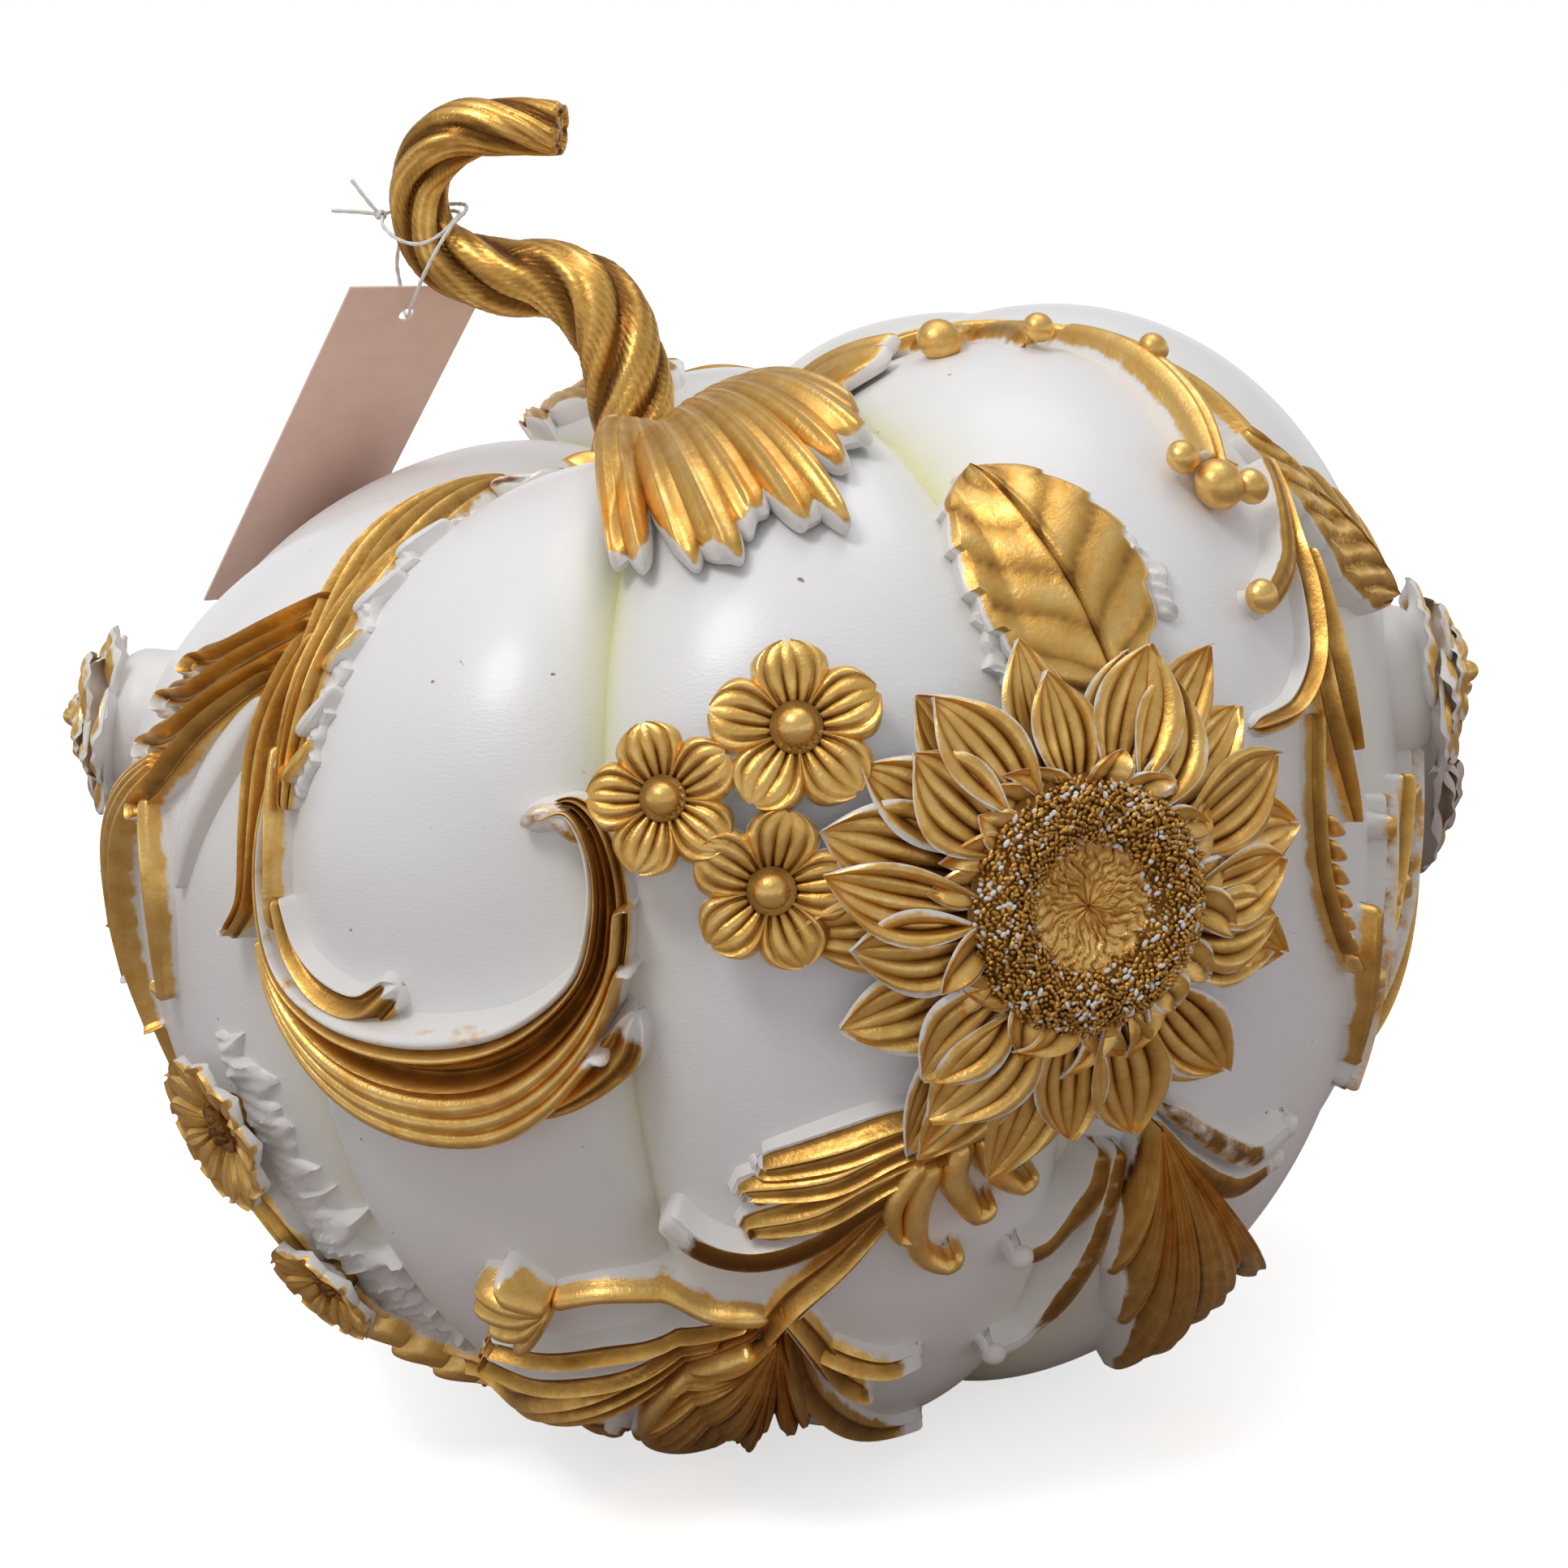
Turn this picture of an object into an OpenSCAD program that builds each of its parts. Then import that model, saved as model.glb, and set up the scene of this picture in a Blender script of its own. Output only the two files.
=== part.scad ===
// Ornate ceramic pumpkin: a hollow lobed body with applied relief sprigs,
// a twisted hooked stem and a card tag tied on with thread.
// Front is -Y, +Z is up, and the foot stands on z = 0.
// Places on the body are [azimuth, elevation] in degrees, seen from its centre:
// azimuth 0 is the front and grows towards +X, elevation 0 is level.

/* [Body] */
// Half width of the body across its lobes
body_radius = 137; // [132:1:140]
// Height of the body's centre above the table
centre_height = 124; // [122:1:126]
// Reach of the body above its centre, before the dimple
top_reach = 101; // [97:1:103]
// Extra reach of the lobes on the high side
top_lean = 17; // [0:1:18]
// Depth of the creases, as a part of the radius
crease_depth = 0.085; // [0.06:0.005:0.09]
// Wall of the ceramic body
wall = 6; // [5:0.5:8]
// Radius of the foot's flat
foot_radius = 50; // [44:1:52]
// Diameter of the vent hole in the base
vent_dia = 9; // [7:0.5:12]

/* [Stem] */
// Radius of the stem where it leaves the body
stem_base_r = 9.4; // [8.5:0.1:9.8]
// Radius of the stem at its cut tip
stem_tip_r = 5.8; // [5:0.1:6.2]
// Turns of the stem's twist
stem_turns = 2.2; // [1.5:0.1:2.6]

/* [Sunflower] */
// Radius to the tips of the petals
sun_radius = 49; // [45:1:51]
// Petals in each ring
sun_petals = 15; // [13:1:17]
// Outer radius of the seed ring
seed_radius = 22.5; // [20:0.5:24]

/* [Tag] */
// Width of the card
card_w = 35; // [28:1:36]
// Length of the card
card_h = 100; // [80:1:102]
// Thickness of the card
card_t = 0.6; // [0.5:0.1:0.8]
// Diameter of the thread
thread_dia = 0.9; // [0.8:0.1:1]

/* [Hidden] */

bottom_reach = 134;
shoulder = 2.35;         // squareness of the body's section
crease_round = 2.4;      // squareness of a lobe between two creases
dimple = 0.36;
dimple_spread = 30;
lean_azimuth = 95;
carry = 0.35;            // how far an applied sprig sinks into a crease
bed = 1.5;               // how deep a sprig is bedded in the glaze
creases = [-192, -140, -92, -45, -13, 23, 68, 115, 168, 220];
GOLD = [0.72, 0.53, 0.2];
WHITE = [0.93, 0.93, 0.92];

// ---- the body's surface ----

// where azimuth a lies between its two creases: -1 and 1 at them, 0 half way
function in_lobe(a) =
    let (i = max([for (k = [0:len(creases) - 2]) if (a >= creases[k]) k]))
    2 * (a - creases[i]) / (creases[i + 1] - creases[i]) - 1;

// radius of the body from its centre; groove scales the creases
function reach(a, e, groove = 1) =
    let (
        c = cos(e),
        s = sin(e),
        up = s > 0 ? top_reach + top_lean * cos(a - lean_azimuth) : bottom_reach,
        round_r = pow(pow(abs(c) / body_radius, shoulder)
            + pow(abs(s) / up, shoulder), -1 / shoulder),
        groove_d = groove * crease_depth * (0.55 + 0.45 * max(s, 0)),
        sink = dimple * exp(-pow((90 - e) / dimple_spread, 2))
    )
    round_r * (1 - groove_d * pow(abs(in_lobe(a)), crease_round)) * (1 - sink);

function ray(a, e) = [cos(e) * sin(a), -cos(e) * cos(a), sin(e)];
centre = [0, 0, centre_height];
function floor_at(p) = [p.x, p.y, max(p.z, 0)];
function skin(a, e, lift = 0) = centre + ray(a, e) * (reach(a, e) + lift);
function carrier(a, e, lift = 0) = centre + ray(a, e) * (reach(a, e, carry) + lift);

// [azimuth, elevation] of a point
function toward(p) = let (d = p - centre)
    [atan2(d.x, -d.y), atan2(d.z, norm([d.x, d.y]))];
function east(a) = [cos(a), sin(a), 0];
function north(a, e) = [-sin(e) * sin(a), sin(e) * cos(a), cos(e)];
function unit(v) = v / norm(v);

// ---- curves ----

function spline_point(p, i, t) =
    let (
        n = len(p),
        a = i > 0 ? p[i - 1] : 2 * p[0] - p[1],
        b = p[i],
        c = p[i + 1],
        d = i + 2 < n ? p[i + 2] : 2 * p[n - 1] - p[n - 2]
    )
    0.5 * (2 * b + (c - a) * t + (2 * a - 5 * b + 4 * c - d) * pow(t, 2)
        + (3 * b - a - 3 * c + d) * pow(t, 3));
function spline(p, steps) = concat(
    [for (i = [0:len(p) - 2]) for (k = [0:steps - 1]) spline_point(p, i, k / steps)],
    [p[len(p) - 1]]);

// ---- solids from rings of points ----

function ring_walls(m, n) = [
    for (i = [0:n - 2]) for (j = [0:m - 1])
        let (a = i * m + j, b = i * m + (j + 1) % m)
        each [[a, b, b + m], [a, b + m, a + m]]
];
function fan_cap(first, m, flip) = [
    for (j = [1:m - 2]) flip ? [first, first + j, first + j + 1]
        : [first, first + j + 1, first + j]
];

// closed solid through rings that all have the same number of points
module rings_solid(rings) {
    m = len(rings[0]);
    n = len(rings);
    polyhedron(
        [for (r = rings) each r],
        concat(ring_walls(m, n), fan_cap(0, m, false), fan_cap((n - 1) * m, m, true))
    );
}

// One relief strip: stations are [azimuth, elevation, width, height].
// Its underside is bedded in the body and its top rides on the carrier.
module strip(stations, steps = 2, flutes = 4) {
    st = spline(stations, steps);
    n = len(st);
    mid = [for (s = st) carrier(s[0], s[1])];
    rings_solid([for (i = [0:n - 1])
        let (
            along = unit(mid[min(i + 1, n - 1)] - mid[max(i - 1, 0)]),
            side = unit(cross(along, ray(st[i][0], st[i][1]))),
            w = max(st[i][2], 1),
            h = max(st[i][3], 0.6),
            across = [for (j = [0:flutes])
                toward(mid[i] + side * w * (0.5 - j / flutes))],
            dome = [for (j = [0:flutes]) h * (0.35 + 0.65 * sin(180 * j / flutes))]
        )
        concat(
            [for (j = [0:flutes]) carrier(across[j][0], across[j][1], dome[j])],
            [for (j = [flutes:-1:0]) skin(across[j][0], across[j][1], -bed)]
        )
    ]);
}

// One round flower face laid over the body: petals set its scalloped rim.
// rise is its height at the rim and in the middle. A rooted one reaches down
// into the body in the middle, and any other is a plate of even thickness.
module rosette(at, radius, petals, rise, thick = 3, notch = 0.2, turn = 0, steps = 6,
        rooted = true) {
    n = petals * steps;
    x = east(at[0]);
    y = north(at[0], at[1]);
    mid = carrier(at[0], at[1]);
    rim = [for (i = [0:n - 1])
        let (t = 360 * i / n, q = abs(sin(petals * t / 2)))
        [t + turn, radius * (1 - notch + notch * sqrt(q))]];
    top = function (k, i)
        let (p = toward(mid + (x * cos(rim[i][0]) + y * sin(rim[i][0])) * rim[i][1] * k))
        carrier(p[0], p[1], rise[0] + (rise[1] - rise[0]) * (1 - k));
    low = function (k, i)
        let (p = toward(mid + (x * cos(rim[i][0]) + y * sin(rim[i][0])) * rim[i][1] * k))
        rooted && k < 0.5 ? skin(p[0], p[1], -bed)
            : carrier(p[0], p[1], rise[0] + (rise[1] - rise[0]) * (1 - k) - thick);
    rings_solid([
        [for (i = [0:n - 1]) top(0.15, i)],
        [for (i = [0:n - 1]) top(0.6, i)],
        [for (i = [0:n - 1]) top(1, i)],
        [for (i = [0:n - 1]) low(1, i)],
        [for (i = [0:n - 1]) low(0.49, i)],
        [for (i = [0:n - 1]) low(0.15, i)]
    ]);
}

// children stand on the carrier at a place, with +Z straight out
module out_from(at, lift = 0) {
    translate(carrier(at[0], at[1], lift)) rotate([90 - at[1], 0, at[0]]) children();
}

// ---- body ----

function body_ring(e, inset, around) = [for (i = [0:around - 1])
    floor_at(skin(-180 + 360 * i / around, e, -inset))];

// a lobed solid from the foot up to the dimple, inset from the outer surface
module lobed_solid(inset, lowest, rows, around) {
    elevations = [for (k = [0:rows]) lowest + (88 - lowest) * k / rows];
    rings_solid([for (k = [rows:-1:0]) body_ring(elevations[k], inset, around)]);
}

foot_lowest = -asin(centre_height / (bottom_reach * 1.04));
vent_at = [0, 28];

module body_shell() {
    color(WHITE) difference() {
        union() {
            lobed_solid(0, foot_lowest, 20, 72);
            cylinder(h = wall + 2, r = foot_radius, $fn = 96);
        }
        intersection() {
            lobed_solid(wall, foot_lowest, 12, 40);
            translate([-200, -200, wall]) cube([400, 400, 400]);
        }
        translate([vent_at.x, vent_at.y, -1]) cylinder(h = wall + 6, d = vent_dia, $fn = 48);
    }
}

// ---- stem ----

// centreline of the stem with its radius: [x, y, z, r]
stem_route = [
    [-18, 0, 174, stem_base_r + 0.8], [-20, 2, 190, stem_base_r],
    [-20, 6, 210, 9.2], [-22, 9, 222, 9.1], [-27, 12, 231, 8.8], [-35, 15, 235, 8.3],
    [-44, 17, 236, 8.2], [-53, 19, 239.5, 7.9], [-58.5, 20, 243.5, 7], [-61, 20, 250, 6.3],
    [-60.5, 20, 258, 6.3], [-56, 18.5, 264.5, 6.4], [-48.5, 17, 268, 6.3],
    [-38, 14.5, 267.5, 6], [-29, 12, 266, stem_tip_r]
];
stem_sides = 16;
stem_strands = 4;

module stem() {
    st = spline(stem_route, 2);
    n = len(st);
    pos = [for (s = st) [s[0], s[1], s[2]]];
    color(GOLD) rings_solid([for (i = [0:n - 1])
        let (
            along = unit(pos[min(i + 1, n - 1)] - pos[max(i - 1, 0)]),
            side = unit(cross(along, [0.25, 1, 0])),
            front = cross(side, along)
        )
        [for (j = [0:stem_sides - 1])
            let (
                t = 360 * j / stem_sides,
                twist = 360 * stem_turns * i / n,
                r = st[i][3] * (0.94 + 0.06 * cos(stem_strands * (t + twist)))
            )
            pos[i] + (side * cos(t) + front * sin(t)) * r]
    ]);
}

module stem_leaf() {
    color(GOLD) strip([[-60, 74, 12, 10], [-6, 68, 30, 8], [1, 56, 44, 7], [0, 45, 50, 5],
        [-2, 36, 36, 4]], 2, 8);
}

// ---- sunflower and blossoms ----

sun_at = [21.5, 1];

seed_inner = 10.5;

module sunflower_back_petals() {
    color(GOLD) rosette(sun_at, sun_radius, sun_petals, [6, 9], 2.5, 0.26, 0, 4);
}
module sunflower_front_petals() {
    color(GOLD) rosette(sun_at, sun_radius * 0.9, sun_petals, [9.5, 12], 3, 0.28, 12, 4, false);
}
module sunflower_bracts() {
    bracts = 20;
    color(GOLD) out_from(sun_at, 10) linear_extrude(5) difference() {
        polygon([for (i = [0:4 * bracts - 1])
            let (t = 90 * i / bracts, r = seed_radius + 1.5 + 3.5 * abs(sin(bracts * t / 2)))
            [r * cos(t), r * sin(t)]]);
        circle(r = seed_radius - 0.5, $fn = 72);
    }
}
module sunflower_seed_ring() {
    ring_mid = (seed_radius + seed_inner) / 2;
    color([0.6, 0.45, 0.2]) out_from(sun_at, 11) rotate_extrude($fn = 72) polygon([
        [seed_inner, 0], [seed_radius, 0], [seed_radius, 3.5], [ring_mid + 3, 6.5],
        [ring_mid - 3, 6.5], [seed_inner, 3]
    ]);
}
module sunflower_button() {
    color(GOLD) out_from(sun_at, 10.5)
        cylinder(h = 3, r1 = seed_inner + 0.4, r2 = seed_inner - 1.5, $fn = 48);
}
module sunflower_leaf() {
    color(GOLD) strip([[24, 37, 4, 2], [26, 33, 24, 3.5], [28, 28, 32, 4], [29, 22, 30, 4],
        [28, 17, 18, 3.5]]);
}
module blossom(at, radius, turn) {
    color(GOLD) {
        rosette(at, radius, 5, [7, 5], 3, 0.22, turn, 6);
        out_from(at, 6) sphere(r = radius * 0.23, $fn = 36);
    }
}
module blossom_upper() blossom([3, 16], 15.4, 18);
module blossom_left() blossom([-7, 12], 13.6, 30);
module blossom_lower() blossom([0, 5], 14.3, 0);

// ---- scrolls and leaves of the left side ----

module left_plume() {
    color(GOLD) {
        strip([[-57, 54, 5, 3], [-52, 46, 10, 4], [-48, 37, 15, 5], [-45, 29, 17, 5],
            [-44, 20, 16, 5], [-45, 12, 9, 4.5], [-45, 3, 4, 3]]);
        strip([[-47, 33, 8, 4], [-51, 27, 13, 5], [-55, 21, 12, 5], [-61, 16, 8, 4],
            [-66, 11, 3, 3]]);
    }
}
module left_c_scroll() {
    color(GOLD) {
        strip([[-43, 14, 3, 3], [-42, 5, 4, 3.5], [-41, -3, 7, 4], [-36, -9, 13, 5.5],
            [-30, -11, 16, 6], [-23, -11, 16, 6], [-17, -8, 13, 6], [-12, -3, 10, 6],
            [-12, 4, 7, 5], [-14, 9, 4, 4], [-17, 11, 3, 3]]);
        strip([[-42, 0, 3, 3], [-39, -3, 5, 4], [-35, -5, 7, 4], [-31, -4, 4, 3]]);
    }
}
module left_side_scroll() {
    color(GOLD) strip([[-60, 13, 4, 4], [-66, 9, 9, 5], [-71, 3, 11, 5], [-74, -5, 8, 5],
        [-73, -13, 3, 3]]);
}
module left_side_rose() {
    color(GOLD) rosette([-87, 12], 22, 6, [10, 19], 4, 0.18, 10);
}
module daisy_upper() {
    color(GOLD) rosette([-56, -17], 15.5, 9, [6, 5], 3, 0.2, 0, 4);
}
module daisy_lower() {
    color(GOLD) rosette([-52, -32], 12, 8, [6, 5], 3, 0.2, 20, 4);
}

// ---- scrolls and leaves of the foot ----

module garland_scroll() {
    color(GOLD) strip([[-60, -22, 4, 3], [-57, -27, 7, 4], [-53, -38, 8, 4], [-48, -45, 9, 5],
        [-40, -49, 13, 5], [-30, -46, 15, 5], [-21, -41, 12, 5], [-12, -36, 8, 4],
        [-3, -31, 5, 4]]);
}
module foot_scroll() {
    color(GOLD) strip([[-48, -55, 4, 3], [-40, -55, 9, 4], [-32, -54, 10, 4], [-26, -52, 4, 3]]);
}
module flower_bud() {
    color(GOLD) {
        strip([[-24, -28, 4, 3], [-16, -27, 3, 3], [-9, -29, 4, 3], [-3, -30, 4, 3]]);
        out_from([-26, -28], 2) rotate([0, 90, 12]) cylinder(h = 9, r1 = 4, r2 = 6.5, $fn = 32);
    }
}
module bottom_fan_leaf() {
    color(GOLD) strip([[-3, -32, 6, 4], [-7, -38, 14, 5], [-11, -45, 22, 5], [-14, -52, 26, 4],
        [-15, -55, 20, 3]]);
}
module bottom_sprig() {
    color(GOLD) {
        strip([[-3, -31, 5, 4], [3, -27, 6, 4], [7, -20, 4, 3]]);
        strip([[-3, -31, 6, 4], [1, -37, 6, 4], [5, -40, 5, 4], [9, -39, 3, 3]]);
        strip([[-3, -33, 6, 4], [-2, -43, 7, 4], [3, -52, 6, 4], [11, -54, 3, 3]]);
    }
}
module sunflower_spray() {
    color(GOLD) {
        strip([[14, -15, 6, 4], [7, -14, 16, 6], [1, -15, 16, 6], [-5, -17, 6, 4]]);
        strip([[13, -17, 4, 4], [4, -20, 5, 4], [-5, -23, 5, 4], [-11, -21, 4, 3]]);
        strip([[12, -16, 5, 4], [11, -22, 5, 4], [10, -26, 4, 3]]);
    }
}
module right_fan_leaf() {
    color(GOLD) strip([[29, -20, 7, 5], [32, -29, 14, 5], [37, -37, 24, 5], [41, -44, 28, 4],
        [43, -49, 18, 3]]);
}
module right_tendrils() {
    color(GOLD) {
        strip([[28, -20, 5, 4], [22, -25, 5, 4], [16, -28, 5, 4]]);
        strip([[28, -21, 5, 4], [24, -33, 5, 4], [16, -39, 6, 4]]);
        strip([[29, -20, 5, 4], [36, -26, 7, 4], [42, -28, 7, 4], [47, -26, 3, 3]]);
    }
}

// ---- scrolls, leaves and flowers of the right side ----

module top_scroll() {
    color(GOLD) strip([[30, 67, 3, 4], [44, 68, 5, 5], [60, 64, 7, 6], [68, 56, 8, 6],
        [67, 49, 6, 5], [64, 43, 4, 4]]);
}
module right_vine() {
    color(GOLD) {
        strip([[64, 50, 4, 4], [58, 42, 6, 5], [53, 35, 6, 5], [48, 29, 5, 4]]);
        out_from([47, 28], 4) sphere(r = 4.5, $fn = 32);
        out_from([59, 42], 5) sphere(r = 3, $fn = 32);
    }
}
module right_outer_vine() {
    color(GOLD) {
        strip([[58, 28, 4, 4], [54, 16, 6, 5], [52, 4, 7, 5], [54, -8, 6, 5], [58, -16, 3, 3]]);
        strip([[56, 26, 3, 3], [53, 21, 4, 4], [46, 18, 5, 4]]);
    }
}
module right_leaf() {
    color(GOLD) strip([[64, 31, 4, 3], [67, 26, 20, 4], [71, 20, 24, 5], [76, 14, 14, 5]]);
}
module right_rose() {
    color(GOLD) rosette([84, 4], 20, 6, [9, 17], 4, 0.18, 0);
}
module right_peony() {
    color([0.62, 0.55, 0.47]) rosette([97, -9], 21, 5, [15, 24], 4, 0.15, 30);
}
module right_swag() {
    color(GOLD) {
        strip([[86, -9, 6, 5], [80, -16, 8, 5], [72, -22, 7, 5], [62, -25, 3, 3]]);
        strip([[74, -2, 4, 4], [68, -11, 6, 5], [60, -22, 3, 3]]);
    }
}

// ---- the far side ----

module back_blossom() {
    blossom([-168, 8], 20, 0);
}
module back_scroll_left() {
    color(GOLD) strip([[-176, 20, 4, 4], [-166, 29, 10, 5], [-155, 31, 13, 5],
        [-145, 25, 10, 5], [-138, 17, 4, 3]]);
}
module back_scroll_right() {
    color(GOLD) strip([[184, -4, 4, 4], [176, -16, 10, 5], [164, -22, 15, 6], [150, -18, 12, 5],
        [140, -6, 8, 5], [142, 6, 3, 3]]);
}

// ---- tag ----

// The thread starts and ends at the knot on the left of the stem. It crosses the
// stem's front, goes round behind it, down through the card and back up the front.
thread_route = [
    [-69.4, 20, 251.5], [-68.8, 15.5, 249.5], [-65.6, 12, 246.6], [-61.3, 10.9, 245.3],
    [-57, 12, 246.6], [-53.6, 15.6, 249.4], [-52.8, 20.5, 250.6], [-55.5, 26, 251.2],
    [-61, 28.2, 250.4], [-66.3, 27.6, 246.6], [-68.4, 28, 241.5], [-68.6, 30.4, 236],
    [-69, 31.3, 232.3], [-68, 29, 229.6], [-67, 26, 229.8], [-66, 21, 231.6],
    [-63.8, 15, 234.6], [-61, 11, 239], [-57.6, 10, 243.8], [-54, 12, 248.4],
    [-51.3, 16.4, 250.8], [-51.6, 22.4, 252.2], [-55.6, 27.8, 252.6], [-61.4, 29.6, 252.6],
    [-67, 27.4, 252.4], [-69.6, 23.4, 252]
];
thread_steps = 2;
thread_sides = 8;
knot_at = [-70, 21.6, 252];

module swept_thread(route, d) {
    st = spline(route, thread_steps);
    n = len(st);
    rings_solid([for (i = [0:n - 1])
        let (
            along = unit(st[min(i + 1, n - 1)] - st[max(i - 1, 0)]),
            side = unit(cross(along, [0.37, 0.2, 0.91])),
            other = cross(side, along)
        )
        [for (j = [0:thread_sides - 1])
            let (t = 360 * j / thread_sides)
            st[i] + (side * cos(t) + other * sin(t)) * d / 2]
    ]);
}
module tag_thread() {
    color("white") swept_thread(thread_route, thread_dia);
}
module thread_knot() {
    color("white") {
        translate(knot_at) sphere(r = 1.4, $fn = 32);
        swept_thread([knot_at, knot_at + [-4, -1, 1], knot_at + [-10, -2, 2]], thread_dia);
        swept_thread([knot_at, knot_at + [-2, -1, 3], knot_at + [-5, -1, 8]], thread_dia);
    }
}

// the card is drawn with its hole at the origin, then swung, tipped back and turned
hole_at = [-68, 29, 230];
card_turn = 33;
card_tip = 44;
card_swing = 9;
hole_drop = 8;
hole_dia = 3.6;

module price_tag() {
    color([0.72, 0.58, 0.52]) translate(hole_at) rotate([0, 0, card_turn])
        rotate([card_tip, 0, 0]) rotate([0, card_swing, 0]) difference() {
            translate([-card_w / 2, -card_t / 2, hole_drop - card_h])
                cube([card_w, card_t, card_h]);
            rotate([90, 0, 0]) translate([0, 0, -card_t])
                cylinder(h = 2 * card_t, d = hole_dia, $fn = 32);
        }
}

body_shell();
stem();
stem_leaf();
sunflower_back_petals();
sunflower_front_petals();
sunflower_bracts();
sunflower_seed_ring();
sunflower_button();
sunflower_leaf();
blossom_upper();
blossom_left();
blossom_lower();
left_plume();
left_c_scroll();
left_side_scroll();
left_side_rose();
daisy_upper();
daisy_lower();
garland_scroll();
foot_scroll();
flower_bud();
bottom_fan_leaf();
bottom_sprig();
sunflower_spray();
right_fan_leaf();
right_tendrils();
top_scroll();
right_vine();
right_outer_vine();
right_leaf();
right_rose();
right_peony();
right_swag();
back_blossom();
back_scroll_left();
back_scroll_right();
tag_thread();
thread_knot();
price_tag();
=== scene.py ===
"""Looks of the ornate ceramic pumpkin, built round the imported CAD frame.

Shapes are worked out in millimetres and become metres when a mesh is made. The front is -Y
and +Z is up. As in part.scad, a place on the body is an azimuth and an elevation in degrees,
seen from the body's centre: azimuth 0 is the front and grows towards +X.
"""

import math

import bmesh
import bpy
import numpy as np
from mathutils import Matrix, Vector


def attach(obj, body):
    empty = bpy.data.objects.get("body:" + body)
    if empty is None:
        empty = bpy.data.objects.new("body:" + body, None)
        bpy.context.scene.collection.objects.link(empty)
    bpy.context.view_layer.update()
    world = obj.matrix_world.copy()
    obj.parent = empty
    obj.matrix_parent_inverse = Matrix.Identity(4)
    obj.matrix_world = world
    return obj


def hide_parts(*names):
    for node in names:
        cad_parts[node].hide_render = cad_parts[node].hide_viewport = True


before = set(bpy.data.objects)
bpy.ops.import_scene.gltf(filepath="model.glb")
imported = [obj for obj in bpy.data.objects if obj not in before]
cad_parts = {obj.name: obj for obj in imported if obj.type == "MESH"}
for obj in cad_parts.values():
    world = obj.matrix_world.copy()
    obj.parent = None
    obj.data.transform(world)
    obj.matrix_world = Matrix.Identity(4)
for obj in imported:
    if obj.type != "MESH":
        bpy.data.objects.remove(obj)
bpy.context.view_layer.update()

# ---------------------------------------------------------------- the body's surface

BODY_RADIUS = 137
TOP_REACH = 101
BOTTOM_REACH = 134
TOP_LEAN = 17
LEAN_AZIMUTH = 95
SHOULDER = 2.35
CREASE_DEPTH = 0.085  # of the broad creases, as a share of the radius
CREASE_ROUND = 2.4
DIMPLE = 0.36
DIMPLE_SPREAD = 30
CARRY = 0.35  # how far flowers sink into a crease
LAY = 0.75  # how far scrolls and leaves sink into it
CREASE_LINE = 0.024  # depth of the narrow line at the bottom, as a share of the radius
CREASE_LINE_EDGE = 12
CENTRE = np.array([0.0, 0.0, 124.0])
CREASES = np.array([-192.0, -140, -92, -45, -13, 23, 68, 115, 168, 220])


def in_lobe(azimuth):
    """Where an azimuth lies between its two creases: -1 and 1 at them, 0 half way."""
    a = (azimuth + 180) % 360 - 180
    i = np.clip(np.searchsorted(CREASES, a, side="right") - 1, 0, len(CREASES) - 2)
    return 2 * (a - CREASES[i]) / (CREASES[i + 1] - CREASES[i]) - 1


def reach(azimuth, elevation, groove=1.0, line=0.0):
    """Radius of the body from its centre. groove scales the broad creases between lobes, and
    line the narrow one at the bottom of each."""
    c = np.cos(np.radians(elevation))
    s = np.sin(np.radians(elevation))
    lean = TOP_REACH + TOP_LEAN * np.cos(np.radians(azimuth - LEAN_AZIMUTH))
    up = np.where(s > 0, lean, BOTTOM_REACH)
    flat = np.abs(c) / BODY_RADIUS
    tall = np.abs(s) / up
    radius = (flat**SHOULDER + tall**SHOULDER) ** (-1 / SHOULDER)
    depth = groove * CREASE_DEPTH * (0.55 + 0.45 * np.maximum(s, 0))
    sink = DIMPLE * np.exp(-(((90 - elevation) / DIMPLE_SPREAD) ** 2))
    side = np.abs(in_lobe(azimuth))
    dip = depth * side**CREASE_ROUND + line * CREASE_LINE * np.abs(c) * side**CREASE_LINE_EDGE
    return radius * (1 - dip) * (1 - sink)


def ray(azimuth, elevation):
    a, e = np.broadcast_arrays(np.radians(azimuth), np.radians(elevation))
    return np.stack([np.cos(e) * np.sin(a), -np.cos(e) * np.cos(a), np.sin(e)], -1)


def skin(azimuth, elevation, lift=0.0):
    """Point on the body itself."""
    r = reach(azimuth, elevation, 1.0, 1.0) + lift
    return CENTRE + ray(azimuth, elevation) * np.asarray(r)[..., None]


def carrier(azimuth, elevation, lift=0.0, groove=CARRY):
    """Point on the smoother surface that flowers stand on, and scrolls with groove at LAY."""
    r = reach(azimuth, elevation, groove) + lift
    return CENTRE + ray(azimuth, elevation) * np.asarray(r)[..., None]


def toward(points):
    """Azimuth and elevation of points."""
    d = np.asarray(points) - CENTRE
    azimuth = np.degrees(np.arctan2(d[..., 0], -d[..., 1]))
    return azimuth, np.degrees(np.arctan2(d[..., 2], np.hypot(d[..., 0], d[..., 1])))


def unit(v):
    return v / np.maximum(np.linalg.norm(v, axis=-1, keepdims=True), 1e-9)


def local_axes(azimuth, elevation):
    """East, north and outward directions at a place."""
    out = ray(azimuth, elevation)
    a = math.radians(azimuth)
    east = np.array([math.cos(a), math.sin(a), 0.0])
    return east, np.cross(out, east), out


# ---------------------------------------------------------------- curves


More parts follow.
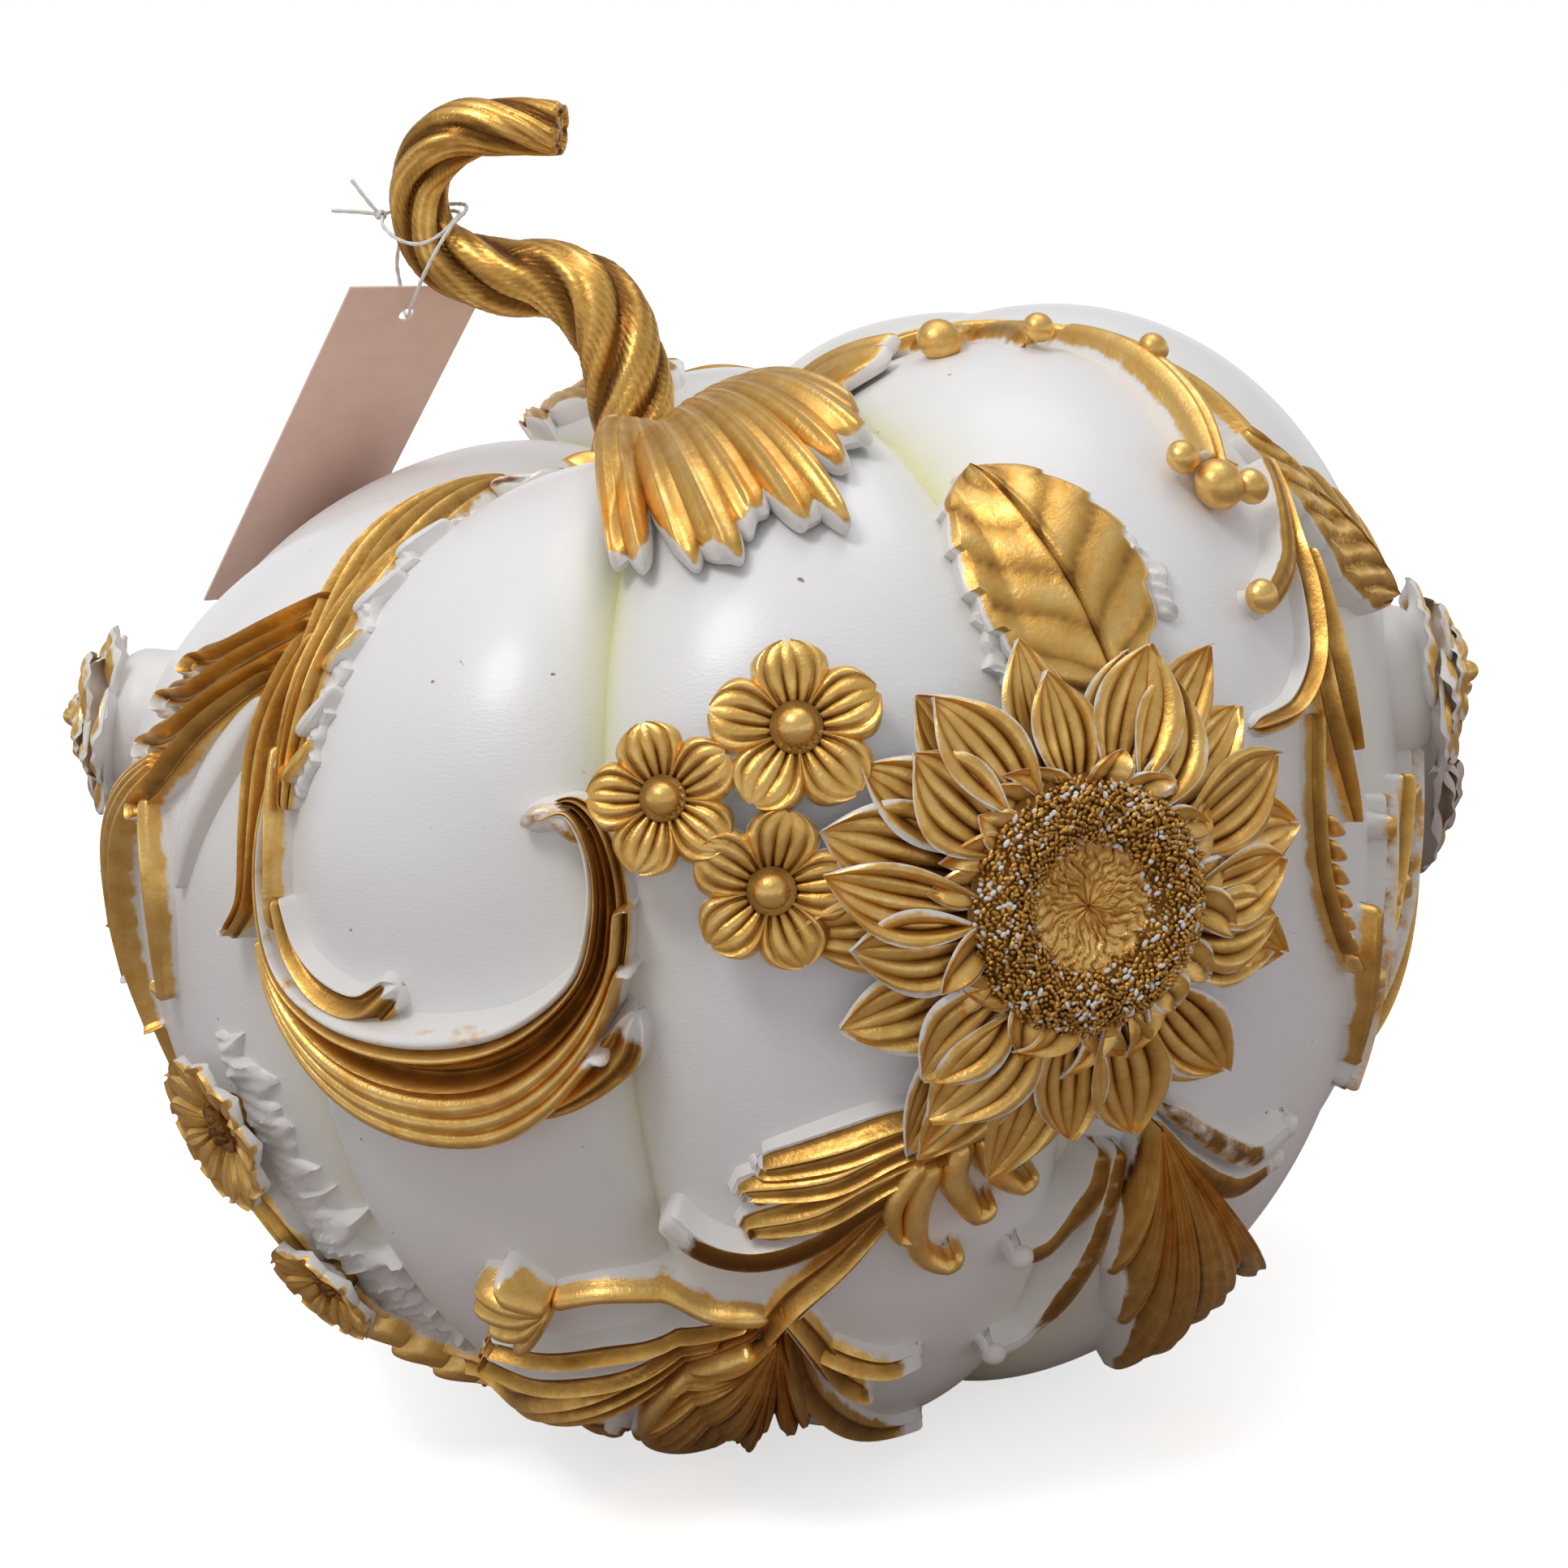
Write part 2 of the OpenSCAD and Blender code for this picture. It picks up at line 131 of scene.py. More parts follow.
def spline(points, per_span=12):
    """Catmull-Rom curve through rows of numbers."""
    p = np.asarray(points, float)
    p = np.vstack([2 * p[0] - p[1], p, 2 * p[-1] - p[-2]])
    t = np.linspace(0, 1, per_span, endpoint=False)[:, None]
    spans = []
    for a, b, c, d in zip(p, p[1:], p[2:], p[3:]):
        spans.append(
            0.5 * (2 * b + (c - a) * t + (2 * a - 5 * b + 4 * c - d) * t**2
                   + (3 * b - a - 3 * c + d) * t**3)
        )
    return np.vstack(spans + [p[-2:-1]])


def resample(rows, xyz, step):
    """The same rows at even steps along the points they stand for, with the distance run."""
    run = np.concatenate([[0], np.cumsum(np.linalg.norm(np.diff(xyz, axis=0), axis=1))])
    n = max(10, int(run[-1] / step) + 8)
    t = np.linspace(0, 1, n)
    at = run[-1] * (t - 0.88 * np.sin(2 * math.pi * t) / (2 * math.pi))
    return np.stack([np.interp(at, run, rows[:, k]) for k in range(rows.shape[1])], -1), at


def curl(route, radius, turns, hand):
    """A route of [azimuth, elevation, width, height] with a spiral end. radius is in degrees
    and hand is 1 to wind left and -1 to wind right, seen from outside."""
    rows = [list(r) for r in route]
    stretch = math.cos(math.radians(rows[-1][1]))
    step = np.array([(rows[-1][0] - rows[-2][0]) * stretch, rows[-1][1] - rows[-2][1]])
    heading = math.atan2(step[1], step[0])
    here = np.array([rows[-1][0], rows[-1][1]])
    width, height = rows[-1][2:4]
    count = max(4, int(turns * 9))
    for k in range(1, count + 1):
        part = k / count
        r = radius * (1 - 0.72 * part)
        heading += hand * turns * 2 * math.pi / count
        arc = r * turns * 2 * math.pi / count
        here = here + np.array([math.cos(heading) * arc / stretch, math.sin(heading) * arc])
        rows.append([here[0], here[1], width * (1 - 0.35 * part), height * (1 + 0.15 * part)])
    return rows


def ends(run, radius_in, radius_out):
    """Factor that rounds off both ends of a strip."""
    start = np.clip(run / max(radius_in, 0.01), 0, 1)
    stop = np.clip((run[-1] - run) / max(radius_out, 0.01), 0, 1)
    return np.sqrt(1 - (1 - start) ** 2) * np.sqrt(1 - (1 - stop) ** 2)


def strip_rows(points, widths, heights):
    """Route through [azimuth, elevation] points, with a width and a height at each."""
    return [[a, e, w, h] for (a, e), w, h in zip(points, widths, heights)]


# ---------------------------------------------------------------- meshes


class Form:
    """One piece under construction: closed shells with two values at each vertex.
    paint is 1 where the brush laid gold and 0 where it missed; the second value is 1 in a recess,
    where the materials paint shade into the colour, together with the gold's brown antiquing and
    the glaze's crease tint."""

    def __init__(self, name):
        self.name = name
        self.points = []
        self.quads = []
        self.paint = []
        self.recess_tint_and_shade = []
        self.count = 0

    def add(self, points, quads, paint, recess_tint_and_shade):
        points = np.asarray(points, float).reshape(-1, 3)
        self.points.append(points)
        self.quads.append(np.asarray(quads, int) + self.count)
        self.paint.append(np.broadcast_to(np.asarray(paint, float).ravel(), len(points)))
        self.recess_tint_and_shade.append(np.broadcast_to(np.asarray(recess_tint_and_shade, float).ravel(), len(points)))
        self.count += len(points)

    def shell(self, top, low, paint, recess_tint_and_shade, low_paint=0.0):
        """Closed shell between two grids of points that have the same rows and columns."""
        n, m = top.shape[:2]
        ring = np.concatenate([top, low[:, ::-1]], 1)
        paint = np.broadcast_to(paint, (n, m))
        recess_tint_and_shade = np.broadcast_to(recess_tint_and_shade, (n, m))
        low_paint = np.broadcast_to(low_paint, (n, m))
        quads = tube_quads(n, 2 * m)
        j = np.arange(m - 1)
        first = np.stack([j, j + 1, 2 * m - 2 - j, 2 * m - 1 - j], -1)
        last = first[:, ::-1] + (n - 1) * 2 * m
        self.add(
            ring,
            np.vstack([quads, first, last]),
            np.concatenate([paint, low_paint[:, ::-1]], 1),
            np.concatenate([recess_tint_and_shade, recess_tint_and_shade[:, ::-1]], 1),
        )

    def blob(self, centre, axes, radii, paint=1.0, recess_tint_and_shade=0.0, rows=10, around=16):
        """Rounded bead with its own three radii along its three axes."""
        t = np.linspace(0, math.pi, rows + 1)[1:-1]
        p = np.linspace(0, 2 * math.pi, around, endpoint=False)
        unit_rows = np.stack([
            np.outer(np.sin(t), np.cos(p)),
            np.outer(np.sin(t), np.sin(p)),
            np.outer(np.cos(t), np.ones(around)),
        ], -1)
        poles = np.array([[0.0, 0, 1], [0, 0, -1]])
        local = np.vstack([unit_rows.reshape(-1, 3), poles])
        world = np.asarray(centre) + (local * np.asarray(radii)) @ np.asarray(axes)
        count = (rows - 1) * around
        body = tube_quads(rows - 1, around)
        top = hub_fan(count, 0, around)
        low = hub_fan(count + 1, (rows - 2) * around, around)[:, TURNED]
        self.add(world, np.vstack([body[:, ::-1], top, low]), paint, recess_tint_and_shade)

    def object(self, material, node=None, slot=None, smooth=40):
        points = np.vstack(self.points) * 0.001
        quads = np.vstack(self.quads)
        mesh = bpy.data.meshes.new(self.name)
        mesh.from_pydata(points.tolist(), [], quads.tolist())
        for label, values in (("paint", self.paint), ("recess_tint_and_shade", self.recess_tint_and_shade)):
            layer = mesh.attributes.new(label, "FLOAT", "POINT")
            layer.data.foreach_set("value", np.concatenate(values).astype(np.float32))
        mesh.materials.append(material)
        outward = bmesh.new()
        outward.from_mesh(mesh)
        bmesh.ops.recalc_face_normals(outward, faces=outward.faces)
        outward.to_mesh(mesh)
        outward.free()
        mesh.polygons.foreach_set("use_smooth", [True] * len(mesh.polygons))
        mesh.update()
        piece = bpy.data.objects.new(self.name, mesh)
        bpy.context.scene.collection.objects.link(piece)
        if smooth:
            mesh.set_sharp_from_angle(angle=math.radians(smooth))
        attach(piece, "root")
        if node:
            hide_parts(node)
        return piece


def tube_quads(n, m):
    """Quads of n rings with m points each."""
    i, j = np.meshgrid(np.arange(n - 1), np.arange(m), indexing="ij")
    a = (i * m + j).ravel()
    b = (i * m + (j + 1) % m).ravel()
    return np.stack([a, a + m, b + m, b], -1)


def hub_fan(hub, base, m):
    """Quads that close a ring of m points, the first of them at base, round a hub."""
    j = np.arange(0, m, 2)
    return np.stack([np.full(len(j), hub), base + j, base + (j + 1) % m, base + (j + 2) % m], -1)


TURNED = [0, 3, 2, 1]  # column order that faces a hub_fan the other way


# ---------------------------------------------------------------- relief shapes

BED = 1.0  # how deep relief reaches into the glaze
STEP = 1.1  # length of a mesh row along a strip
SERRATION = 0.11  # depth of a leaf's teeth, as a share of its half width
FLASH_PAINT = 0.1  # next to no gold on the ragged glaze


def blade(form, route, flutes=1, lip=0.0, depth=0.45, base=0.12, stop=1.0, sag=0.0,
          tip=0.0, bare=0.0, channels=False, missed=0, paint=1.0):
    """A strip of relief along a route of [azimuth, elevation, width, height]. Its flutes are
    rounded ridges, or with channels rounded hollows between thin crests. lip raises its two
    rims, stop says how round its far end is, and tip narrows it to the far end. bare
    is the share of its far end that the gold missed, and missed is the side, -1 or 1, whose
    rim stayed white."""
    rows = spline(route)
    rows, run = resample(rows, carrier(rows[:, 0], rows[:, 1]), STEP)
    mid = carrier(rows[:, 0], rows[:, 1])
    along = unit(np.gradient(mid, axis=0))
    side = unit(np.cross(along, ray(rows[:, 0], rows[:, 1])))
    u = run / run[-1]
    width = np.maximum(rows[:, 2], 0.8) * (1 - tip * u**3)
    height = np.maximum(rows[:, 3], 0.5)
    taper = ends(run, width[0] / 2, stop * width[-1] * 0.8)
    width = np.maximum(width * taper, 0.1)
    height = height * (0.25 + 0.75 * np.sqrt(taper))
    v = np.linspace(-1, 1, 10 * flutes + 9)
    wave = np.abs(np.sin(math.pi * flutes * (v + 1) / 2))
    valley = wave**1.3 if channels else (1 - wave) ** 1.5
    dome = np.sqrt(np.clip(1 - np.abs(v) ** 2.2, 0, 1))
    inner = np.clip((1 - np.abs(v)) * 6, 0, 1)
    groove = valley * inner * (depth if flutes > 1 or channels else 0)
    rim = lip * np.exp(-(((np.abs(v) - 0.8) / 0.13) ** 2))
    hollow = sag * (1 - v**2)
    section = (base + (1 - base) * dome) * (1 - groove) + (rim - hollow) / height.mean()
    spots = mid[:, None] + side[:, None] * (width[:, None] * v / 2)[..., None]
    azimuth, elevation = toward(spots)
    top = carrier(azimuth, elevation, height[:, None] * section, LAY)
    feet = mid[:, None] + side[:, None] * ((width[:, None] / 2 + 1.1) * v)[..., None]
    low = skin(*toward(feet), -BED)
    edge = np.clip((1 - np.abs(v)) * 6, 0, 1)
    end = np.clip((u - 1 + bare) / max(bare, 0.01), 0, 1)[:, None]
    laid = (0.5 + 0.5 * edge)[None, :] * (1 - 0.8 * end)
    if missed:
        laid = laid * (1 - 0.75 * np.clip((v * missed - 0.62) * 4, 0, 1))[None, :]
    # Painted shade in the grooves and hollows.
    recess_tint_and_shade = np.clip(groove * (1.4 if channels else 2.2) + hollow * 0.9, 0, 1)
    form.shell(top, low, laid * paint, recess_tint_and_shade[None, :], low_paint=0.45 * laid * paint)


def bead(form, azimuth, elevation, radius, lift=0.0, squash=0.85, paint=1.0):
    """A rounded bead that sits on the relief's surface."""
    axes = np.array(local_axes(azimuth, elevation))
    form.blob(carrier(azimuth, elevation, lift), axes, [radius, radius, radius * squash],
              paint=paint)


def shifted(route, share, width_share, lift=0.0):
    """A route moved sideways by a share of its own width, and narrowed."""
    rows = np.asarray(route, float)
    step = np.gradient(rows[:, :2], axis=0)
    stretch = np.cos(np.radians(rows[:, 1]))
    x = step[:, 0] * stretch
    y = step[:, 1]
    length = np.maximum(np.hypot(x, y), 1e-6)
    degrees = share * rows[:, 2] / 2 * (180 / math.pi / 130)
    out = rows.copy()
    out[:, 0] += y / length * degrees / stretch
    out[:, 1] -= x / length * degrees
    out[:, 2] = rows[:, 2] * width_share
    out[:, 3] = rows[:, 3] + lift
    return out


def cut(route, start, stop):
    """The part of a route from start to stop, both from 0 to 1."""
    rows = spline(route, 6)
    t = np.linspace(0, 1, len(rows))
    at = np.linspace(start, stop, max(5, int((stop - start) * len(rows) / 3)))
    return np.stack([np.interp(at, t, rows[:, k]) for k in range(4)], -1)


def frond(form, route, strands, curls=0.5, radius=1.6, stagger=0.22, lift=1.2, swell=1.45,
          lip=0.0, one_side=0):
    """Blades that run side by side along a route, each with its own curled tip. They end
    one after another, the middle one last, or with one_side the outermost one first."""
    for k in range(strands):
        share = 2 * (k + 0.5) / strands - 1
        edge = abs(share) if not one_side else (share * one_side + 1) / 2
        rows = shifted(route, share * 0.86, swell / strands, lift * (1 - abs(share)))
        rows = cut(rows, 0, 1 - stagger * edge)
        hand = 1 if share < 0 else -1
        turns = curls * (0.55 + 0.45 * abs(share))
        if turns > 0.05:
            rows = curl(rows, radius, turns, hand)
        bare = 0.1 if k % 3 == 1 else 0.0
        blade(form, rows, 1, lip=lip, tip=0.45, bare=bare)


def fan(form, root, edge, pleats, low, high, depth=1.5, notch=0.12, crest=0.6, bare=0.1,
        thin=0.0, keel=0.0):
    """A pleated sheet that spreads from a root to a scalloped edge; both are in [azimuth,
    elevation], and low and high are its heights at the edge and near the root. thin is the
    thickness of an edge that stands free of the body. keel turns the round pleats into narrow
    folds with flat sheet between them."""
    columns = 24 * pleats + 1
    outline = spline(edge, 12)
    t = np.linspace(0, 1, len(outline))
    across = np.linspace(0, 1, columns)
    azimuth = np.interp(across, t, outline[:, 0])
    elevation = np.interp(across, t, outline[:, 1])
    rim = carrier(azimuth, elevation)
    start = carrier(*root)
    phase = across * pleats
    share = phase % 1
    side = np.abs(2 * share - 1)
    ridge = (1 - side**3) * (1 - keel) + np.exp(-((side / 0.26) ** 2)) * keel
    ribs = sum(size * np.exp(-(((share - at) / 0.055) ** 2))
               for at, size in ((0.24, 0.6), (0.5, 1.0), (0.76, 0.6)))
    uneven = 0.07 * np.sin(2.3 * phase + 1) + 0.04 * np.sin(5.1 * phase)
    split = notch * (0.65 + 0.35 * np.sin(2.7 * np.round(phase) + 1))
    far = 1 + uneven - split * side**2.5
    u = np.linspace(0.02, 1, 44)[:, None]
    spots = start + (rim - start)[None, :] * (u * far[None, :])[..., None]
    fold = depth * (ridge - 0.6 + 0.25 * keel)[None, :] * u**1.4
    reach_in = np.clip(u * 3, 0, 1)
    reach_out = np.clip((1 - u) * 5, 0, 1)
    fold = fold + 0.5 * (1 - keel) * depth * ribs[None, :] * reach_in * reach_out
    swell = high + (low - high) * u**1.5 + crest * np.sin(math.pi * u) * 2
    drop = 1 - np.clip((u - 0.93) / 0.07, 0, 1) ** 2 * 0.35
    height = (swell + fold) * drop
    border = np.clip(np.minimum(across, 1 - across) * pleats * 3, 0, 1)
    height = height * (0.45 + 0.55 * border[None, :])
    top = carrier(*toward(spots), height, LAY)
    below = skin(*toward(spots), -BED)
    if thin:
        free = np.clip((u - 0.3) / 0.3, 0, 1)[..., None]
        below = below * (1 - free) + carrier(*toward(spots), height - thin, LAY) * free
    brush = np.clip((1 - u) * 14, 0, 1) * (0.35 + 0.65 * border[None, :])
    missed = bare * np.clip((u - 0.72) / 0.28, 0, 1) * (1 + np.sin(7 * phase)[None, :])
    paint = 0.36 + 0.64 * brush - 2.2 * missed
    # Painted shade in the pleat valleys, between the ribs and towards the root.
    valley = np.clip(0.5 - ridge - 0.35 * keel, 0, 1)[None, :] * np.clip(u * 3, 0, 1)
    recess_tint_and_shade = valley * 1.3 + 0.3 * (1 - keel) * (1 - ribs)[None, :] * u + 0.1 * (1 - u)
    form.shell(top, below, paint, np.clip(recess_tint_and_shade, 0, 1))


def over(at, x, y, height):
    """Points x east and y north of a place, in mm, laid over the body at a height."""
    east, north, _ = local_axes(*at)
    x, y, height = np.broadcast_arrays(x, y, height)
    flat = carrier(*at) + x[..., None] * east + y[..., None] * north
    return carrier(*toward(flat), height)


def oval(u, fullest=0.5, bluntness=0.8):
    """Half width of a petal along its length, 1 at its fullest."""
    power = math.log(0.5) / math.log(fullest)
    return np.sin(math.pi * np.clip(u, 0, 1) ** power) ** bluntness


def petal(form, at, turn, inner, outer, width, height, half=oval, ridges=3, groove=0.6,
          thick=1.3, sway=0.0, rows=18, cols=17, paint=1.0, notch=0.0, rim=0.35):
    """One petal of a flower at a place. u runs out from 0 to 1 and v across from -1 to 1;
    height(u, v) lifts it off the body, and half(u) shapes its outline."""
    u = np.linspace(0, 1, rows)[:, None]
    v = np.linspace(-1, 1, cols)[None, :]
    across = np.maximum(half(u), 0.04) * width / 2 * v
    out = inner + (outer - inner) * u * (1 - notch * (1 - np.abs(v)) * u**3)
    swing = math.radians(turn) + sway * u**2
    x = out * np.cos(swing) - across * np.sin(swing)
    y = out * np.sin(swing) + across * np.cos(swing)
    valley = (1 - np.abs(np.sin(math.pi * ridges * (v + 1) / 2))) ** 1.6
    inside = np.clip((1 - np.abs(v)) * 4, 0, 1)
    fade = np.clip((1 - u) * 2.2, 0, 1) * np.clip(u * 8, 0, 1)
    furrow = valley * inside * fade
    edge = 1 - inside
    lift = height(u, v) - groove * furrow + rim * np.exp(-(((np.abs(v) - 0.8) / 0.14) ** 2))
    top = over(at, x, y, lift - 0.5 * thick * edge**2)
    low = over(at, x, y, height(u, v) - thick * (1 - 0.5 * edge**2))
    tip = np.clip((1 - u) * 7, 0, 1)
    laid = paint * (0.5 + 0.5 * inside) * (0.7 + 0.3 * tip)
    # Painted shade in the furrows and over the inner part of the petal, towards the flower's
    # middle.
    recess_tint_and_shade = np.clip(furrow * 0.8 + np.clip(0.42 - u, 0, 1) * 1.5, 0, 1)
    form.shell(top, low, laid, recess_tint_and_shade, low_paint=0.2)


def leaf(form, route, teeth, pleats, pleat=0.7):
    """A veined leaf along a route from its tip: a midrib, wide pleats that slant from it
    towards the tip, and a toothed edge."""
    rows = spline(route)
    rows, run = resample(rows, carrier(rows[:, 0], rows[:, 1]), 0.9)
    mid = carrier(rows[:, 0], rows[:, 1])
    along = unit(np.gradient(mid, axis=0))
    side = unit(np.cross(along, ray(rows[:, 0], rows[:, 1])))
    u = (run / run[-1])[:, None]
    v = np.linspace(-1, 1, 81)[None, :]
    phase = (u * teeth) % 1
    tooth = 1 - SERRATION * (1 - phase) ** 1.5
    taper = ends(run, rows[0, 2] / 2, rows[-1, 2] / 2)[:, None]
    half = np.maximum(rows[:, 2:3] * taper / 2 * tooth, 0.06)
    slant = u * pleats + np.abs(v) ** 0.8 * pleats * 0.26
    wave = (np.sin(math.pi * slant) ** 2 + 0.01) ** 0.3
    inside = np.clip((1 - np.abs(v)) * 7, 0, 1)
    rib = np.exp(-((v / 0.05) ** 2))
    crown = 0.62 + 0.38 * np.cos(v * math.pi / 2) ** 0.8
    height = rows[:, 3:4] * crown + pleat * (wave - 1) * np.clip(np.abs(v) * 5, 0, 1) * inside
    height = height + 0.9 * np.exp(-((v / 0.12) ** 2)) - 1.1 * np.exp(-((v / 0.035) ** 2))
    spots = mid[:, None] + side[:, None] * (half * v)[..., None]
    azimuth, elevation = toward(spots)
    top = carrier(azimuth, elevation, height * (0.55 + 0.45 * inside), LAY)
    low = skin(azimuth, elevation, -BED)
    paint = (0.3 + 0.7 * inside) * np.ones_like(u)
    # Painted shade in the pleat valleys and along the midrib.
    recess_tint_and_shade = np.clip((1 - wave) * 0.75 * inside + rib * 0.5, 0, 1)
    form.shell(top, low, paint, recess_tint_and_shade)


def flash(form, route, seed):
    """A thin ragged sheet of glaze along an edge: lumpy, with spikes on its right side when
    the route runs down."""
    chance = np.random.default_rng(seed)
    rows = spline(route)
    rows, run = resample(rows, carrier(rows[:, 0], rows[:, 1]), 0.6)
    mid = carrier(rows[:, 0], rows[:, 1])
    along = unit(np.gradient(mid, axis=0))
    side = unit(np.cross(along, ray(rows[:, 0], rows[:, 1])))
    knots = np.arange(0, run[-1] + 3, 2.2)
    spikes = chance.uniform(0.25, 0.9, len(knots))
    spikes[2::4] += chance.uniform(0.5, 0.9, len(spikes[2::4]))
    ragged = np.interp(run, knots, spikes)[:, None]
    lumps = np.interp(run, knots, chance.uniform(0.5, 1.1, len(knots)))[:, None]
    v = np.linspace(-1, 1, 13)[None, :]
    taper = ends(run, 3, 3)[:, None]
    half = rows[:, 2:3] / 2 * np.where(v < 0, ragged, 0.8) * np.maximum(taper, 0.05)
    spots = mid[:, None] + side[:, None] * (half * v)[..., None]
    azimuth, elevation = toward(spots)
    crown = np.clip(1 - np.abs(v) ** 3, 0, 1) ** 0.6
    lift = rows[:, 3:4] * lumps * (0.2 + 0.8 * crown) * (0.3 + 0.7 * taper)
    lift = lift * (1 + 0.15 * np.sin(2.1 * run[:, None] + 5 * v))
    top = carrier(azimuth, elevation, lift, 1.0)
    form.shell(top, skin(azimuth, elevation, -BED), FLASH_PAINT, 0.0)


# ---------------------------------------------------------------- materials


def material(name):
    """A new material, its node tree and its shader."""
    made = bpy.data.materials.new(name)
    made.use_nodes = True
    shader = made.node_tree.nodes["Principled BSDF"]
    return made, made.node_tree, shader


def attribute(tree, label):
    node = tree.nodes.new("ShaderNodeAttribute")
    node.attribute_name = label
    return node.outputs["Fac"]


def noise(tree, scale, detail=4.0, rough=0.55, stretch=(1, 1, 1)):
    """Fine noise in the object's own metres."""
    place = tree.nodes.new("ShaderNodeTexCoord")
    mapping = tree.nodes.new("ShaderNodeMapping")
    mapping.inputs["Scale"].default_value = stretch
    node = tree.nodes.new("ShaderNodeTexNoise")
    node.inputs["Scale"].default_value = scale
    node.inputs["Detail"].default_value = detail
    node.inputs["Roughness"].default_value = rough
    tree.links.new(place.outputs["Object"], mapping.inputs["Vector"])
    tree.links.new(mapping.outputs["Vector"], node.inputs["Vector"])
    return node.outputs["Fac"]


def math_node(tree, kind, a, b=None, clamp=False):
    node = tree.nodes.new("ShaderNodeMath")
    node.operation = kind
    node.use_clamp = clamp
    for socket, value in zip(node.inputs, (a, b)):
        if value is None:
            continue
        if isinstance(value, (int, float)):
            socket.default_value = value
        else:
            tree.links.new(value, socket)
    return node.outputs[0]


def ramp(tree, value, stops):
    """Colours at places from 0 to 1."""
    node = tree.nodes.new("ShaderNodeValToRGB")
    scale = node.color_ramp.elements
    while len(scale) < len(stops):
        scale.new(0.5)
    for element, (at, colour) in zip(scale, stops):
        element.position = at
        element.color = (*colour, 1)
    tree.links.new(value, node.inputs["Fac"])
    return node.outputs["Color"]


def spread(tree, value, low, high, to_low=0.0, to_high=1.0):
    node = tree.nodes.new("ShaderNodeMapRange")
    node.inputs["From Min"].default_value = low
    node.inputs["From Max"].default_value = high
    node.inputs["To Min"].default_value = to_low
    node.inputs["To Max"].default_value = to_high
    tree.links.new(value, node.inputs["Value"])
    return node.outputs["Result"]


def mix(tree, fac, a, b):
    node = tree.nodes.new("ShaderNodeMix")
    node.data_type = "RGBA"
    tree.links.new(fac, node.inputs["Factor"])
    for socket, value in ((node.inputs["A"], a), (node.inputs["B"], b)):
        if isinstance(value, tuple):
            socket.default_value = (*value, 1)
        else:
            tree.links.new(value, socket)
    return node.outputs["Result"]


def bump(tree, shader, height, strength, distance):
    node = tree.nodes.new("ShaderNodeBump")
    node.inputs["Strength"].default_value = strength
    node.inputs["Distance"].default_value = distance
    tree.links.new(height, node.inputs["Height"])
    tree.links.new(node.outputs["Normal"], shader.inputs["Normal"])


def gilt(name, light, middle, dark, cover=0.52, white=(0.78, 0.76, 0.74), rough=0.36):
    """Gold paint brushed over white, white where the brush missed; the recess value turns it brown,
    which is partly antiquing and partly painted shade.
    """
    made, tree, shader = material(name)
    patches = noise(tree, 190, 5, 0.6)
    grain = noise(tree, 1400, 3, 0.6)
    recess_tint_and_shade = attribute(tree, "recess_tint_and_shade")
    paint = attribute(tree, "paint")
    shade = math_node(tree, "MULTIPLY_ADD", patches, 0.7)
    shade.node.inputs[2].default_value = -0.2
    # Painted shade: the recess value pushes the gold towards the dark brown end of the ramp, along
    # with real antiquing.
    shade = math_node(tree, "ADD", shade, recess_tint_and_shade, clamp=True)
    gold = ramp(tree, shade, [(0.0, light), (0.3, middle), (0.95, dark)])
    laid = math_node(tree, "MULTIPLY_ADD", patches, 0.55)
    laid.node.inputs[2].default_value = -0.27
    laid = math_node(tree, "ADD", laid, paint)
    laid = spread(tree, laid, cover - 0.06, cover + 0.06)
    tree.links.new(mix(tree, laid, white, gold), shader.inputs["Base Color"])
    tree.links.new(spread(tree, laid, 0, 1, 0.0, 0.88), shader.inputs["Metallic"])
    roughness = spread(tree, patches, 0.3, 0.7, rough - 0.07, rough + 0.1)
    tree.links.new(roughness, shader.inputs["Roughness"])
    height = math_node(tree, "MULTIPLY_ADD", grain, 0.35)
    tree.links.new(patches, height.node.inputs[2])
    bump(tree, shader, height, 0.35, 0.0006)
    return made


GOLD_LIGHT = (0.96, 0.66, 0.24)
GOLD_MIDDLE = (0.72, 0.41, 0.10)
# Darkest gold, reached in recesses: brown antiquing and painted shade.
GOLD_ANTIQUE_AND_SHADE = (0.20, 0.085, 0.016)


def glaze():
    """Satin white body, yellowed and darkened in its creases by a glaze tint with painted shade,
    with a fine brushed tooth and a few specks.
    """
    made, tree, shader = material("satin_white")
    crease = attribute(tree, "recess_tint_and_shade")
    cloud = noise(tree, 14, 3, 0.5)
    tooth = noise(tree, 900, 3, 0.6, (1, 1, 2.4))
    speck = noise(tree, 420, 1, 0.4)
    ground = ramp(tree, cloud, [(0.3, (0.80, 0.79, 0.80)), (0.7, (0.86, 0.855, 0.87))])
    # Painted shade: in the creases the white is mixed towards a darker yellow-green, a glaze tint
    # and shade together.
    tinted_and_shaded = mix(tree, crease, ground, (0.78, 0.77, 0.47))
    spots = spread(tree, speck, 0.80, 0.83)
    tree.links.new(mix(tree, spots, tinted_and_shaded, (0.25, 0.2, 0.17)), shader.inputs["Base Color"])
    tree.links.new(spread(tree, cloud, 0.3, 0.7, 0.34, 0.46), shader.inputs["Roughness"])
    shader.inputs["Specular IOR Level"].default_value = 0.5
    shader.inputs["Coat Weight"].default_value = 0.3
    shader.inputs["Coat Roughness"].default_value = 0.2
    bump(tree, shader, tooth, 0.22, 0.0004)
    return made


